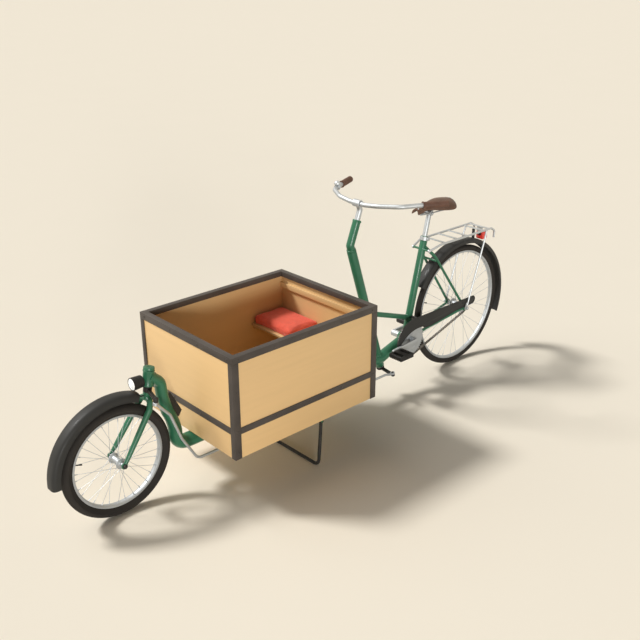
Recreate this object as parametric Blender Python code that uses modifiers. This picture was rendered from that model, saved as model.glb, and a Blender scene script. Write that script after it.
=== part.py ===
# Cargo bike with a wooden box between a small front wheel and a large rear wheel.
# Lengths are metres. Places are measured from the rear axle: X forward, Y to the rider's left, Z up from
# the floor. The finished bike is shifted so that its middle stands over the origin.

from math import asin, atan2, cos, hypot, pi, radians, sin, tan

import bmesh
import bpy
from mathutils import Matrix, Vector
from mathutils.bvhtree import BVHTree

# Fits
GAP = 0.0003
WELD = 0.00001
FLAT_ANGLE = radians(0.1)
BORE_FIT = 0.0003
BAR_FIT = 0.0007
TYRE_CLEARANCE = 0.009

# Wheels
WHEELBASE = 2.188
WHEEL_STEPS = 36
FRONT_BEAD_RADIUS = 0.203
FRONT_TYRE_WIDTH = 0.050
REAR_BEAD_RADIUS = 0.311
REAR_TYRE_WIDTH = 0.037
RIM_HOOK = 0.006
RIM_WALL = 0.002
RIM_DEPTH = 0.012
FRONT_RIM_WIDTH = 0.026
REAR_RIM_WIDTH = 0.022
SPOKE_RADIUS = 0.001
SPOKE_LAY = 0.0014
SPOKE_RIM_OFFSET = 0.0035
SPOKES_PER_WHEEL = 32
AXLE_RADIUS = 0.005
NUT_RADIUS = 0.0095
NUT_HEIGHT = 0.008
HUB_FLANGE_THICKNESS = 0.0052
FRONT_FLANGE_RADIUS = 0.024
FRONT_FLANGE_Y = 0.030
FRONT_HUB_END = 0.0475
REAR_FLANGE_RADIUS = 0.030
REAR_FLANGE_Y = 0.026
REAR_HUB_END = 0.0355

# Drive
CHAIN_PITCH = 0.0127
CHAIN_LINKS = 102
CHAINRING_TEETH = 48
SPROCKET_TEETH = 18
CHAIN_Y = 0.0435
CHAIN_ROLLER_RADIUS = 0.0038
CHAIN_INNER_WIDTH = 0.006
CHAIN_PLATE = 0.0015
CHAIN_PLATE_HEIGHT = 0.0084
CHAIN_WAIST_HEIGHT = 0.0058
TOOTH_THICKNESS = 0.0022
TOOTH_HEIGHT = 0.0033
BB_HEIGHT = 0.278
BB_SHELL_RADIUS = 0.022
BB_SHELL_HALF = 0.0345
SPINDLE_RADIUS = 0.0085
CRANK_LENGTH = 0.170
CRANK_THICKNESS = 0.012
CRANK_INNER_Y = 0.0745
CRANK_TILT = radians(-3)
CRANK_BOSS_RADIUS = 0.018
CRANK_EYE_RADIUS = 0.013
PEDAL_LENGTH = 0.096
PEDAL_WIDTH = 0.088
PEDAL_HEIGHT = 0.024
PEDAL_AXLE_RADIUS = 0.006
PEDAL_GAP = 0.0015

# Frame tubes
BEAM_HEIGHT = 0.215
BEAM_RADIUS = 0.030
BEAM_FOOT_X = 0.615
BEAM_NOSE_RADIUS = 0.022
BEND_STEPS = 4
DOWN_TUBE_RADIUS = 0.027
SHOULDER = (WHEELBASE - 0.23, 0, 0.541)
WRAP_START = radians(172)
WRAP_END = radians(152)
SEAT_TUBE_TOP = (0.302, 0, 0.817)
SEAT_TUBE_RADIUS = 0.019
BRACE_RADIUS = 0.0135
BRACE_FRONT_HEIGHT = 0.498
BRACE_REAR_HEIGHT = 0.385
STAY_RADIUS = 0.009
STAY_END_RADIUS = 0.007
STAY_END_Y = 0.0572
SEAT_STAY_SHOULDER = (0.262, 0.047, 0.704)
DROPOUT_Y = 0.0590
DROPOUT_THICKNESS = 0.005
DROPOUT_RADIUS = 0.018
BRIDGE_WHEEL_RADIUS = 0.404

# Steering
HEAD_X = WHEELBASE - 0.176
HEAD_Z = 0.565
HEAD_TILT = radians(-9.5)
HEAD_TUBE_RADIUS = 0.024
HEAD_TUBE_FOOT = 0.5425
HEAD_TUBE_TOP = 0.611
HEAD_BORE_RADIUS = 0.0185
STEERER_RADIUS = 0.0125
CUP_HEIGHT = 0.006
COLUMN_X = 0.841
COLUMN_TOP = 0.857
COLUMN_TILT = radians(18)
COLUMN_FOOT = 0.172
COLUMN_TUBE_RADIUS = 0.0235
ARM_CLAMP_RADIUS = 0.021
FORK_ARM_HEIGHT = 0.5255
FORK_ARM_LENGTH = 0.117
FORK_ARM_SWEEP = radians(16)
FORK_ARM_DEPTH = 0.0184
REAR_ARM_LENGTH = 0.122
REAR_ARM_SWEEP = radians(12)
REAR_ARM_RISE = 0.0152
REAR_ARM_RADIUS = 0.005
ARM_PIN_RADIUS = 0.005
ROD_RADIUS = 0.006
ROD_HEIGHT = 0.185
ROD_RISE_LOW = (WHEELBASE - 0.244, 0.117, 0.310)
ROD_RISE_HIGH = (WHEELBASE - 0.198, 0.1155, 0.440)
ROD_EYE_DEPTH = 0.014
ROD_REAR_EYE_DEPTH = 0.010
ROD_OPEN_FIT = 0.0013
ROD_EYE_FIT = 0.0008
ROD_HINGE = Vector((0.3002, -0.0383, 0.9500)).normalized()

# Fork
CROWN_FOOT = 0.480
CROWN_TOP = 0.5158
CROWN_RADIUS = 0.017
BLADE_RADIUS = 0.012
BLADE_TIP_RADIUS = 0.009
BLADE_TOP_Y = 0.043
FORK_END_Y = 0.0535
FORK_END_THICKNESS = 0.005
FORK_END_RADIUS = 0.014

# Fenders
FENDER_SHEET = 0.0015
FRONT_FENDER_CROWN = 0.303
FRONT_FENDER_EDGE = 0.277
FRONT_FENDER_HALF_WIDTH = 0.033
FRONT_FENDER_START = radians(-1)
FRONT_FENDER_END = radians(113)
REAR_FENDER_CROWN = 0.388
REAR_FENDER_EDGE = 0.370
REAR_FENDER_HALF_WIDTH = 0.032
REAR_FENDER_START = radians(30)
REAR_FENDER_END = radians(200)

# Box
BOX_REAR = 1.002
BOX_FRONT = WHEELBASE - 0.358
BOX_HALF_WIDTH = 0.334
BOX_FOOT = 0.252
BOX_TOP = 0.718
STEEL = 0.003
PLY = 0.012
POST_X = 0.034
POST_Y = 0.027
RIM_HEIGHT = 0.030
RIM_WIDTH = 0.028
MID_RAIL_LOW = 0.366
MID_RAIL_HIGH = 0.396
CROSS_BAR_WIDTH = 0.040
CROSS_BAR_HALF = BOX_HALF_WIDTH - 0.040
FRONT_CROSS_BAR_X = BOX_FRONT - 0.060
REAR_CROSS_BAR_X = BOX_REAR + 0.060
BENCH_DEPTH = 0.200
BENCH_TOP = 0.488
BATTEN = 0.018
LEDGE_LOW = 0.634
LEDGE_HIGH = 0.661
LEDGE_DEPTH = 0.020
CUSHION_DEPTH = 0.193
CUSHION_WIDTH = 0.287
CUSHION_THICKNESS = 0.044
CUSHION_CROWN = 0.008

# Stand
STAND_PIVOT_X = 1.325
STAND_PIVOT_Z = 0.235
STAND_FOOT_X = 1.341
STAND_LEG_Y = BOX_HALF_WIDTH - 0.028
STAND_RADIUS = 0.008
STAND_EYE_RADIUS = 0.0115
STAND_PIN_RADIUS = 0.005

# Handlebar and seat
RISER_RADIUS = 0.020
RISER_TOP = (0.806, 0, 1.005)
STEM_RADIUS = 0.0125
STEM_DEPTH = 0.060
STEM_CLAMP = (0.805, 0, 1.088)
STEM_CLAMP_RADIUS = 0.018
BAR_RADIUS = 0.011
GRIP_RADIUS = 0.016
GRIP_LENGTH = 0.128
BAR_BENDS = ((0.800, 0.125, 1.096), (0.745, 0.222, 1.102), (0.664, 0.264, 1.103))
BAR_END = (0.537, 0.324, 1.100)
BELL_RADIUS = 0.017
SEAT_POST_RADIUS = 0.013
SEAT_POST_TOP = 0.938
SEAT_POST_FOOT = 0.560
SEAT_DROP = 0.060
SADDLE_REAR = 0.115
SADDLE_LENGTH = 0.270
SADDLE_TOP = 0.990
SADDLE_SHELL = 0.007
SADDLE_HALF_WIDTH = 0.090
SADDLE_NOSE_HALF_WIDTH = 0.025
RAIL_RADIUS = 0.0035

# Rack and lamps
RACK_HEIGHT = 0.775
RACK_HALF_WIDTH = 0.070
RACK_FRONT = 0.250
RACK_REAR = -0.170
RACK_RADIUS = 0.006
RACK_BAR_RADIUS = 0.0045
RACK_LUG_Y = 0.050
RACK_FOOT_Y = 0.0705
TAIL_LAMP_TOP = RACK_HEIGHT - 0.030
LAMP_HEIGHT = HEAD_TUBE_FOOT + 0.0295
LAMP_RADIUS = 0.028
LAMP_LENGTH = 0.054
LAMP_NECK_RADIUS = 0.009

# Chain guard
GUARD_Y = 0.0655
GUARD_SHEET = 0.002
GUARD_RADIUS = 0.126
GUARD_REAR = -0.058
GUARD_INNER_RADIUS = 0.186

# Worked out from the sizes above
FRONT_RADIUS = FRONT_BEAD_RADIUS + FRONT_TYRE_WIDTH
REAR_RADIUS = REAR_BEAD_RADIUS + REAR_TYRE_WIDTH
REAR_AXLE = Vector((0, 0, REAR_RADIUS))
FRONT_AXLE = Vector((WHEELBASE, 0, FRONT_RADIUS))
MIDDLE_X = (WHEELBASE + FRONT_FENDER_CROWN - REAR_FENDER_CROWN) / 2
SIDE = Vector((0, 1, 0))
UP = Vector((0, 0, 1))
HEAD_AXIS = Vector((sin(HEAD_TILT), 0, cos(HEAD_TILT)))
COLUMN_AXIS = Vector((sin(COLUMN_TILT), 0, cos(COLUMN_TILT)))

for old in list(bpy.data.objects):
    bpy.data.objects.remove(old, do_unlink=True)

PARTS = bpy.data.collections.new("cargo_bike")
bpy.context.scene.collection.children.link(PARTS)
ROOT = bpy.data.objects.new("bike_middle", None)
ROOT.location.x = -MIDDLE_X
PARTS.objects.link(ROOT)


# Modelling helpers

def new_object(name, data):
    """Add an object that holds the data to the bike's collection."""
    thing = bpy.data.objects.new(name, data)
    PARTS.objects.link(thing)
    return thing


def from_bmesh(name, bm):
    """Make an object from a closed bmesh, with its faces pointing out."""
    bmesh.ops.recalc_face_normals(bm, faces=bm.faces)
    mesh = bpy.data.meshes.new(name)
    bm.to_mesh(mesh)
    bm.free()
    return new_object(name, mesh)


def settled(thing):
    """Turn a curve, or a mesh with modifiers, into one plain welded mesh."""
    bpy.context.view_layer.update()
    graph = bpy.context.evaluated_depsgraph_get()
    mesh = bpy.data.meshes.new_from_object(thing.evaluated_get(graph))
    bm = bmesh.new()
    bm.from_mesh(mesh)
    bmesh.ops.remove_doubles(bm, verts=bm.verts, dist=WELD)
    bmesh.ops.transform(bm, matrix=thing.matrix_world, verts=bm.verts)
    name = thing.name
    bpy.data.objects.remove(thing, do_unlink=True)
    return from_bmesh(name, bm)


def joined(first, others, operation):
    """Apply one exact Boolean after another to the first solid."""
    for other in others:
        step = first.modifiers.new(operation, "BOOLEAN")
        step.operation = operation
        step.object = other
    result = settled(first)
    for other in others:
        bpy.data.objects.remove(other, do_unlink=True)
    return result


def simplified(thing):
    """Merge the faces of a solid that lie in one plane."""
    bm = bmesh.new()
    bm.from_mesh(thing.data)
    bmesh.ops.dissolve_limit(bm, angle_limit=FLAT_ANGLE, verts=bm.verts, edges=bm.edges)
    bm.to_mesh(thing.data)
    bm.free()
    return thing


def fused(first, *others):
    """Weld solids into one."""
    return joined(first, others, "UNION")


def cut(first, *cutters):
    """Take the cutters' shapes out of a solid."""
    return joined(first, cutters, "DIFFERENCE")


def eased(thing, width, segments=2):
    """Round the sharp edges of a solid."""
    bevel = thing.modifiers.new("ease", "BEVEL")
    bevel.width = width
    bevel.segments = segments
    bevel.limit_method = "ANGLE"
    return settled(thing)


def box(name, low, high):
    """A block between two opposite corners."""
    low = Vector(low)
    high = Vector(high)
    place = Matrix.Translation((low + high) / 2) @ Matrix.Diagonal((*(high - low), 1))
    bm = bmesh.new()
    bmesh.ops.create_cube(bm, size=1, matrix=place)
    return from_bmesh(name, bm)


def aimed(origin, axis):
    """A frame at the origin whose Z runs along the axis."""
    turn = Vector(axis).to_track_quat("Z", "Y").to_matrix().to_4x4()
    return Matrix.Translation(Vector(origin)) @ turn


def cylinder(name, start, end, radius, sides=16, end_radius=None):
    """A round bar, or a cone where the end has a radius of its own."""
    start = Vector(start)
    end = Vector(end)
    top_radius = radius if end_radius is None else end_radius
    bm = bmesh.new()
    bmesh.ops.create_cone(
        bm, cap_ends=True, segments=sides, radius1=radius, radius2=top_radius,
        depth=(end - start).length, matrix=aimed((start + end) / 2, end - start))
    return from_bmesh(name, bm)


def ring(name, start, end, radius, bore, sides=16):
    """A round sleeve."""
    start = Vector(start)
    end = Vector(end)
    past = (end - start) * 0.5
    sleeve = cylinder(name, start, end, radius, sides)
    return cut(sleeve, cylinder("bore", start - past, end + past, bore, sides))


def turned(name, profile, origin, axis, steps=WHEEL_STEPS, closed=True):
    """A body of revolution from points of (radius, height along the axis)."""
    count = len(profile)
    edges = [(i, i + 1) for i in range(count - 1)]
    if closed:
        edges.append((count - 1, 0))
    mesh = bpy.data.meshes.new(name)
    mesh.from_pydata([(r, 0, h) for r, h in profile], edges, [])
    thing = new_object(name, mesh)
    screw = thing.modifiers.new("turn", "SCREW")
    screw.steps = steps
    screw.render_steps = steps
    screw.use_merge_vertices = True
    screw.merge_threshold = WELD
    thing.matrix_world = aimed(origin, axis)
    return settled(thing)


def tube(name, path, radius, detail=2, radii=None):
    """A round tube along a path, with closed ends."""
    curve = bpy.data.curves.new(name, "CURVE")
    curve.dimensions = "3D"
    curve.bevel_depth = radius
    curve.bevel_resolution = detail
    curve.use_fill_caps = True
    spline = curve.splines.new("POLY")
    spline.points.add(len(path) - 1)
    for i, (point, place) in enumerate(zip(spline.points, path)):
        point.co = (*place, 1)
        point.radius = 1 if radii is None else radii[i] / radius
    return settled(new_object(name, curve))


def flat(name, outlines, low, high, upright=True):
    """A flat sheet from an outline and its holes: across Y from (x, z), or across Z from (x, y)."""
    curve = bpy.data.curves.new(name, "CURVE")
    curve.dimensions = "2D"
    curve.fill_mode = "BOTH"
    curve.extrude = (high - low) / 2
    for outline in outlines:
        spline = curve.splines.new("POLY")
        spline.points.add(len(outline) - 1)
        for point, (x, across) in zip(spline.points, outline):
            point.co = (x, across, 0, 1)
        spline.use_cyclic_u = True
    thing = new_object(name, curve)
    if upright:
        thing.rotation_euler.x = pi / 2
        thing.location.y = (low + high) / 2
    else:
        thing.location.z = (low + high) / 2
    return settled(thing)


def rounded(corners, bend, steps=5):
    """A path through the corners, with each corner turned on a curve."""
    corners = [Vector(corner) for corner in corners]
    path = [corners[0]]
    for before, corner, after in zip(corners, corners[1:], corners[2:]):
        back = before - corner
        ahead = after - corner
        reach = bend / tan(back.angle(ahead) / 2)
        start = corner + back.normalized() * min(reach, 0.7 * back.length)
        end = corner + ahead.normalized() * min(reach, 0.7 * ahead.length)
        for i in range(steps + 1):
            t = i / steps
            path.append((1 - t) ** 2 * start + 2 * t * (1 - t) * corner + t ** 2 * end)
    path.append(corners[-1])
    return path


def arc(centre, radius, start, end, steps):
    """Points of (x, z) round a centre, from one angle to another."""
    angles = [start + (end - start) * i / steps for i in range(steps + 1)]
    return [(centre.x + radius * cos(a), centre.z + radius * sin(a)) for a in angles]


def mirrored(path):
    """The same path on the bike's other side."""
    return [Vector((p[0], -p[1], p[2])) for p in path]


def shaded_material(name, colour, metallic, roughness):
    """A plain Principled material."""
    material = bpy.data.materials.new(name)
    material.use_nodes = True
    shader = material.node_tree.nodes["Principled BSDF"]
    shader.inputs["Base Color"].default_value = (*colour, 1)
    shader.inputs["Metallic"].default_value = metallic
    shader.inputs["Roughness"].default_value = roughness
    return material


GREEN_PAINT = shaded_material("green_paint", (0.055, 0.190, 0.098), 0.0, 0.35)
BLACK_STEEL = shaded_material("black_steel", (0.055, 0.054, 0.050), 0.2, 0.45)
SILVER = shaded_material("silver", (0.560, 0.570, 0.570), 1.0, 0.30)
FENDER_PAINT = shaded_material("fender_paint", (0.060, 0.060, 0.060), 0.0, 0.30)
RUBBER = shaded_material("rubber", (0.030, 0.028, 0.024), 0.0, 0.75)
PLYWOOD = shaded_material("plywood", (0.690, 0.460, 0.210), 0.0, 0.55)
CUSHION_CLOTH = shaded_material("cushion_cloth", (0.900, 0.150, 0.100), 0.0, 0.85)
BROWN_LEATHER = shaded_material("brown_leather", (0.140, 0.065, 0.034), 0.0, 0.55)
WHITE_LENS = shaded_material("white_lens", (0.800, 0.800, 0.800), 0.0, 0.10)
RED_LENS = shaded_material("red_lens", (0.660, 0.045, 0.026), 0.0, 0.15)
BLACK_PLASTIC = shaded_material("black_plastic", (0.020, 0.020, 0.020), 0.0, 0.50)


def finish(thing, name, material, pivot=(0, 0, 0)):
    """Name a finished solid, colour it, shade it and set its origin on its joint's axis."""
    thing.name = name
    thing.data.name = name
    thing.data.materials.clear()
    thing.data.materials.append(material)
    thing.data.transform(Matrix.Translation(-Vector(pivot)))
    thing.data.shade_smooth()
    thing.data.set_sharp_from_angle(angle=radians(35))
    thing.parent = ROOT
    thing.location = pivot
    return thing


def head(z):
    """The point of the steering axis at a height."""
    return Vector((HEAD_X + (z - HEAD_Z) * tan(HEAD_TILT), 0, z))


def column(z):
    """The point of the rear steering column's axis at a height."""
    return Vector((COLUMN_X + (z - COLUMN_TOP) * tan(COLUMN_TILT), 0, z))


# Chain line, which also sets how far the cranks stand from the rear axle

def pitch_radius(teeth):
    """Radius of the circle that the chain's pins run on."""
    return CHAIN_PITCH / (2 * sin(pi / teeth))


RING_RADIUS = pitch_radius(CHAINRING_TEETH)
SPROCKET_RADIUS = pitch_radius(SPROCKET_TEETH)


def chain_pitches(distance):
    """Pitches in a chain round both wheels at a centre distance."""
    lean = asin((RING_RADIUS - SPROCKET_RADIUS) / distance)
    straight = 2 * distance * cos(lean) / CHAIN_PITCH
    round_ring = CHAINRING_TEETH * (pi + 2 * lean) / (2 * pi)
    round_sprocket = SPROCKET_TEETH * (pi - 2 * lean) / (2 * pi)
    return straight + round_ring + round_sprocket


def drive_distance():
    """Centre distance at which the chain has its whole number of links."""
    short = RING_RADIUS
    long = CHAIN_LINKS * CHAIN_PITCH
    for _ in range(60):
        middle = (short + long) / 2
        if chain_pitches(middle) < CHAIN_LINKS:
            short = middle
        else:
            long = middle
    return middle


DRIVE_DISTANCE = drive_distance()
BB_DROP = REAR_RADIUS - BB_HEIGHT
BB = Vector(((DRIVE_DISTANCE ** 2 - BB_DROP ** 2) ** 0.5, 0, BB_HEIGHT))
DRIVE_LEAN = asin((RING_RADIUS - SPROCKET_RADIUS) / DRIVE_DISTANCE)
DRIVE_SLOPE = atan2(BB.z - REAR_AXLE.z, BB.x - REAR_AXLE.x)
UPPER_TANGENT = DRIVE_SLOPE + pi / 2 + DRIVE_LEAN
LOWER_TANGENT = DRIVE_SLOPE - pi / 2 - DRIVE_LEAN
RUN_PITCHES = DRIVE_DISTANCE * cos(DRIVE_LEAN) / CHAIN_PITCH
RING_PITCHES = CHAINRING_TEETH * (pi + 2 * DRIVE_LEAN) / (2 * pi)


def chain_point(pitches):
    """Place and outward direction (x, z) on the chain, in pitches from the sprocket's upper tangent."""
    if pitches < RUN_PITCHES:
        angle = UPPER_TANGENT
        centre = REAR_AXLE.lerp(BB, pitches / RUN_PITCHES)
        radius = SPROCKET_RADIUS + (RING_RADIUS - SPROCKET_RADIUS) * pitches / RUN_PITCHES
    elif pitches < RUN_PITCHES + RING_PITCHES:
        angle = UPPER_TANGENT - (pitches - RUN_PITCHES) * 2 * pi / CHAINRING_TEETH
        centre = BB
        radius = RING_RADIUS
    elif pitches < 2 * RUN_PITCHES + RING_PITCHES:
        share = (pitches - RUN_PITCHES - RING_PITCHES) / RUN_PITCHES
        angle = LOWER_TANGENT
        centre = BB.lerp(REAR_AXLE, share)
        radius = RING_RADIUS + (SPROCKET_RADIUS - RING_RADIUS) * share
    else:
        past = pitches - 2 * RUN_PITCHES - RING_PITCHES
        angle = LOWER_TANGENT - past * 2 * pi / SPROCKET_TEETH
        centre = REAR_AXLE
        radius = SPROCKET_RADIUS
    outward = Vector((cos(angle), sin(angle)))
    return Vector((centre.x, centre.z)) + outward * radius, outward


def on_wheel(pitches):
    """Whether the chain is bent round a wheel within a pitch of this place."""
    whole = 2 * RUN_PITCHES + RING_PITCHES
    upper_run = 1 < pitches < RUN_PITCHES - 1
    lower_run = RUN_PITCHES + RING_PITCHES + 1 < pitches < whole - 1
    return not (upper_run or lower_run)


def chain():
    """The chain: waisted side plates on both sides, held together by a roller at every pin."""
    waisted = []
    plain = []
    inner = []
    for half_pitch in range(2 * CHAIN_LINKS):
        place, outward = chain_point(half_pitch / 2)
        if half_pitch % 2 == 1:
            waisted.append(place + outward * CHAIN_WAIST_HEIGHT / 2)
            continue
        waisted.append(place + outward * CHAIN_PLATE_HEIGHT / 2)
        if on_wheel(half_pitch / 2):
            plain.append(place + outward * CHAIN_PLATE_HEIGHT / 2)
            inner.append(place - outward * CHAIN_PLATE_HEIGHT / 2)
    near = CHAIN_INNER_WIDTH / 2
    far = near + CHAIN_PLATE
    left = simplified(flat("chain", [waisted, inner], CHAIN_Y + near, CHAIN_Y + far))
    right = simplified(flat("chain_right", [plain, inner], CHAIN_Y - far, CHAIN_Y - near))
    bm = bmesh.new()
    for link in range(CHAIN_LINKS):
        place, outward = chain_point(link)
        bmesh.ops.create_cone(
            bm, cap_ends=True, segments=4, radius1=CHAIN_ROLLER_RADIUS, radius2=CHAIN_ROLLER_RADIUS,
            depth=CHAIN_INNER_WIDTH + CHAIN_PLATE, matrix=aimed((place.x, CHAIN_Y, place.y), SIDE))
    rollers = from_bmesh("rollers", bm)
    finish(simplified(fused(left, right, rollers)), "chain", SILVER)


def toothed_outline(centre, teeth, phase):
    """Outline of a chain wheel whose valleys hold rollers, the first at the phase angle."""
    radius = pitch_radius(teeth)
    valley_radius = radius - CHAIN_ROLLER_RADIUS - 0.0004
    tip_radius = radius + TOOTH_HEIGHT
    valley_half = 0.0029 / valley_radius
    tip_half = pi / teeth - 0.0009 / tip_radius
    outline = []
    for tooth in range(teeth):
        middle = phase + 2 * pi * tooth / teeth
        for turn, reach in ((-tip_half, tip_radius), (-valley_half, valley_radius),
                            (valley_half, valley_radius), (tip_half, tip_radius)):
            angle = middle + turn
            outline.append((centre.x + reach * cos(angle), centre.z + reach * sin(angle)))
    return outline


def circle(centre, radius, steps, start=0.0):
    """A closed ring of (x, z) points."""
    return arc(centre, radius, start, start + 2 * pi * (steps - 1) / steps, steps - 1)


def chain_wheels():
    """The chainring on the cranks and the sprocket on the rear hub."""
    half = TOOTH_THICKNESS / 2
    ring_phase = UPPER_TANGENT + RUN_PITCHES * 2 * pi / CHAINRING_TEETH
    outline = toothed_outline(BB, CHAINRING_TEETH, ring_phase)
    centre_hole = circle(BB, CRANK_BOSS_RADIUS + BORE_FIT, 20)
    ring_plate = flat("chainring", [outline, centre_hole], CHAIN_Y - half, CHAIN_Y + half)
    finish(ring_plate, "chainring", SILVER, BB)
    last = 2 * RUN_PITCHES + RING_PITCHES
    sprocket_phase = LOWER_TANGENT + last * 2 * pi / SPROCKET_TEETH
    outline = toothed_outline(REAR_AXLE, SPROCKET_TEETH, sprocket_phase)
    plate = flat("sprocket", [outline], CHAIN_Y - half, CHAIN_Y + half)
    boss_low = REAR_HUB_END + GAP
    boss_high = CHAIN_Y + 0.005
    boss = cylinder("boss", REAR_AXLE + SIDE * boss_low, REAR_AXLE + SIDE * boss_high, 0.016, 14)
    bore = cylinder("bore", REAR_AXLE, REAR_AXLE + SIDE * 0.08, AXLE_RADIUS + BORE_FIT, 12)
    finish(cut(fused(plate, boss), bore), "sprocket", SILVER, REAR_AXLE)


# Wheels

def tyre(name, axle, bead_radius, width, rim_width):
    """A tyre with its tube: the beads sit between the rim's walls, the crown is the wheel's full radius."""
    crown = bead_radius + width
    bead = rim_width / 2 - RIM_WALL - GAP
    edge = bead_radius + RIM_HOOK + GAP + 0.001
    half = width / 2
    section = [(bead_radius + GAP, bead), (edge, bead)]
    for degrees_up in (5, 48, 90, 132, 175):
        angle = radians(degrees_up)
        section.append((crown - half + half * sin(angle), half * cos(angle)))
    section += [(edge, -bead), (bead_radius + GAP, -bead)]
    finish(turned(name, section, axle, SIDE), name, RUBBER, axle)


def rim(name, axle, bead_radius, width):
    """A rim with two tyre hooks over a tapered spoke bed."""
    half = width / 2
    hook = bead_radius + RIM_HOOK
    profile = [
        (hook, half), (hook, half - RIM_WALL), (bead_radius, half - RIM_WALL),
        (bead_radius, RIM_WALL - half), (hook, RIM_WALL - half), (hook, -half),
        (bead_radius - RIM_DEPTH, -half * 0.55), (bead_radius - RIM_DEPTH, half * 0.55)]
    finish(turned(name, profile, axle, SIDE), name, SILVER, axle)


def hub_with_spokes(name, axle, bead_radius, flange_radius, flange_y, body_radius, hub_end, crossings):
    """A hub with two flanges and crossed spokes that end at the rim's spoke bed."""
    half = HUB_FLANGE_THICKNESS / 2
    bore = AXLE_RADIUS + BORE_FIT
    collar = 0.010
    upper = [(bore, hub_end), (collar, hub_end), (collar, flange_y + half), (flange_radius, flange_y + half),
             (flange_radius, flange_y - half), (body_radius, flange_y - half)]
    lower = [(r, -h) for r, h in reversed(upper)]
    hub = turned("hub", upper + lower, axle, SIDE, steps=16)
    spokes_per_side = SPOKES_PER_WHEEL // 2
    step = 2 * pi / spokes_per_side
    bed = (bead_radius - RIM_DEPTH) * cos(pi / WHEEL_STEPS) - GAP
    root = flange_radius - 0.005
    bm = bmesh.new()
    for side in (1, -1):
        for i in range(spokes_per_side):
            lay = 1 if i % 2 == 0 else -1
            start_angle = step * (i + 0.25 * side)
            end_angle = start_angle + lay * crossings * step
            start_y = side * (flange_y + lay * SPOKE_LAY)
            end_y = side * (SPOKE_RIM_OFFSET + lay * SPOKE_LAY)
            start = axle + Vector((root * cos(start_angle), start_y, root * sin(start_angle)))
            end = axle + Vector((bed * cos(end_angle), end_y, bed * sin(end_angle)))
            bmesh.ops.create_cone(
                bm, cap_ends=True, segments=3, radius1=SPOKE_RADIUS, radius2=SPOKE_RADIUS,
                depth=(end - start).length, matrix=aimed((start + end) / 2, end - start))
    finish(fused(hub, from_bmesh("spokes", bm)), name, SILVER, axle)


def axle_with_nuts(name, axle, inner_y, outer_y):
    """A spindle through a hub, with a nut outside each fork end."""
    reach = SIDE * (outer_y + NUT_HEIGHT)
    spindle = cylinder(name, axle - reach, axle + reach, AXLE_RADIUS, 12)
    nuts = []
    for side in (1, -1):
        start = axle + SIDE * side * (outer_y + GAP)
        nuts.append(cylinder("nut", start, axle + reach * side * 0.99, NUT_RADIUS, 6))
        spacer = axle + SIDE * side * (inner_y - GAP)
        nuts.append(cylinder("spacer", spacer, spacer - SIDE * side * 0.003, 0.009, 12))
    return fused(spindle, *nuts)


def wheels():
    """Both wheels with their axles."""
    tyre("front_tyre", FRONT_AXLE, FRONT_BEAD_RADIUS, FRONT_TYRE_WIDTH, FRONT_RIM_WIDTH)
    rim("front_rim", FRONT_AXLE, FRONT_BEAD_RADIUS, FRONT_RIM_WIDTH)
    hub_with_spokes("front_hub_spokes", FRONT_AXLE, FRONT_BEAD_RADIUS, FRONT_FLANGE_RADIUS,
                    FRONT_FLANGE_Y, 0.015, FRONT_HUB_END, 2)
    axle = axle_with_nuts("front_axle", FRONT_AXLE, FORK_END_Y, FORK_END_Y + FORK_END_THICKNESS)
    finish(axle, "front_axle", BLACK_STEEL, FRONT_AXLE)
    tyre("rear_tyre", REAR_AXLE, REAR_BEAD_RADIUS, REAR_TYRE_WIDTH, REAR_RIM_WIDTH)
    rim("rear_rim", REAR_AXLE, REAR_BEAD_RADIUS, REAR_RIM_WIDTH)
    hub_with_spokes("rear_hub_spokes", REAR_AXLE, REAR_BEAD_RADIUS, REAR_FLANGE_RADIUS,
                    REAR_FLANGE_Y, 0.020, REAR_HUB_END, 3)
    outer_y = RACK_FOOT_Y + 0.004
    axle = axle_with_nuts("rear_axle", REAR_AXLE, DROPOUT_Y, outer_y)
    finish(axle, "rear_axle", SILVER, REAR_AXLE)


# Frame

def down_tube_path():
    """Centre line from the beam's end, round the front tyre and up to the head tube."""
    bend = FRONT_RADIUS + TYRE_CLEARANCE + DOWN_TUBE_RADIUS
    wrap = [Vector((x, 0, z)) for x, z in arc(FRONT_AXLE, bend, WRAP_START, WRAP_END, 4)]
    kink = Vector((wrap[0].x, 0, BEAM_HEIGHT))
    rise = rounded([BB, (BEAM_FOOT_X, 0, BEAM_HEIGHT), kink, wrap[0]], 0.055, BEND_STEPS)
    shoulder = Vector(SHOULDER)
    knee = wrap[-1].lerp(shoulder, 0.5) + Vector((0.006, 0, 0))
    top = rounded([wrap[-1], knee, shoulder, head((HEAD_TUBE_FOOT + HEAD_TUBE_TOP) / 2 + 0.01)], 0.04, 3)
    radii = [BEAM_RADIUS] * (len(rise) - BEND_STEPS - 1)
    radii[0] = BB_SHELL_RADIUS + 0.002
    rest = len(rise) - len(radii) + len(wrap) - 1 + len(top) - 1
    for i in range(rest):
        radii.append(BEAM_RADIUS + (BEAM_NOSE_RADIUS - BEAM_RADIUS) * (i + 1) / rest)
    return rise + wrap[1:] + top[1:], radii


def stay_path(corners):
    """A stay's corners as a path with its taper to the fork end."""
    path = rounded(corners, 0.12, 3)
    last = len(path) - 1
    radii = [STAY_RADIUS + (STAY_END_RADIUS - STAY_RADIUS) * i / last for i in range(last + 1)]
    return path, radii


def seat_tube_point(z):
    """The point of the seat tube's axis at a height."""
    top = Vector(SEAT_TUBE_TOP)
    return BB.lerp(top, (z - BB.z) / (top.z - BB.z))


def seat_stay_corners():
    """Left seat stay from the seat tube, out round the fender, to the rear fork end."""
    start = seat_tube_point(0.765) + SIDE * 0.014
    shoulder = Vector(SEAT_STAY_SHOULDER)
    end = REAR_AXLE + Vector((0.0095, STAY_END_Y, 0.0125))
    return [start, shoulder, end]


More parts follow.
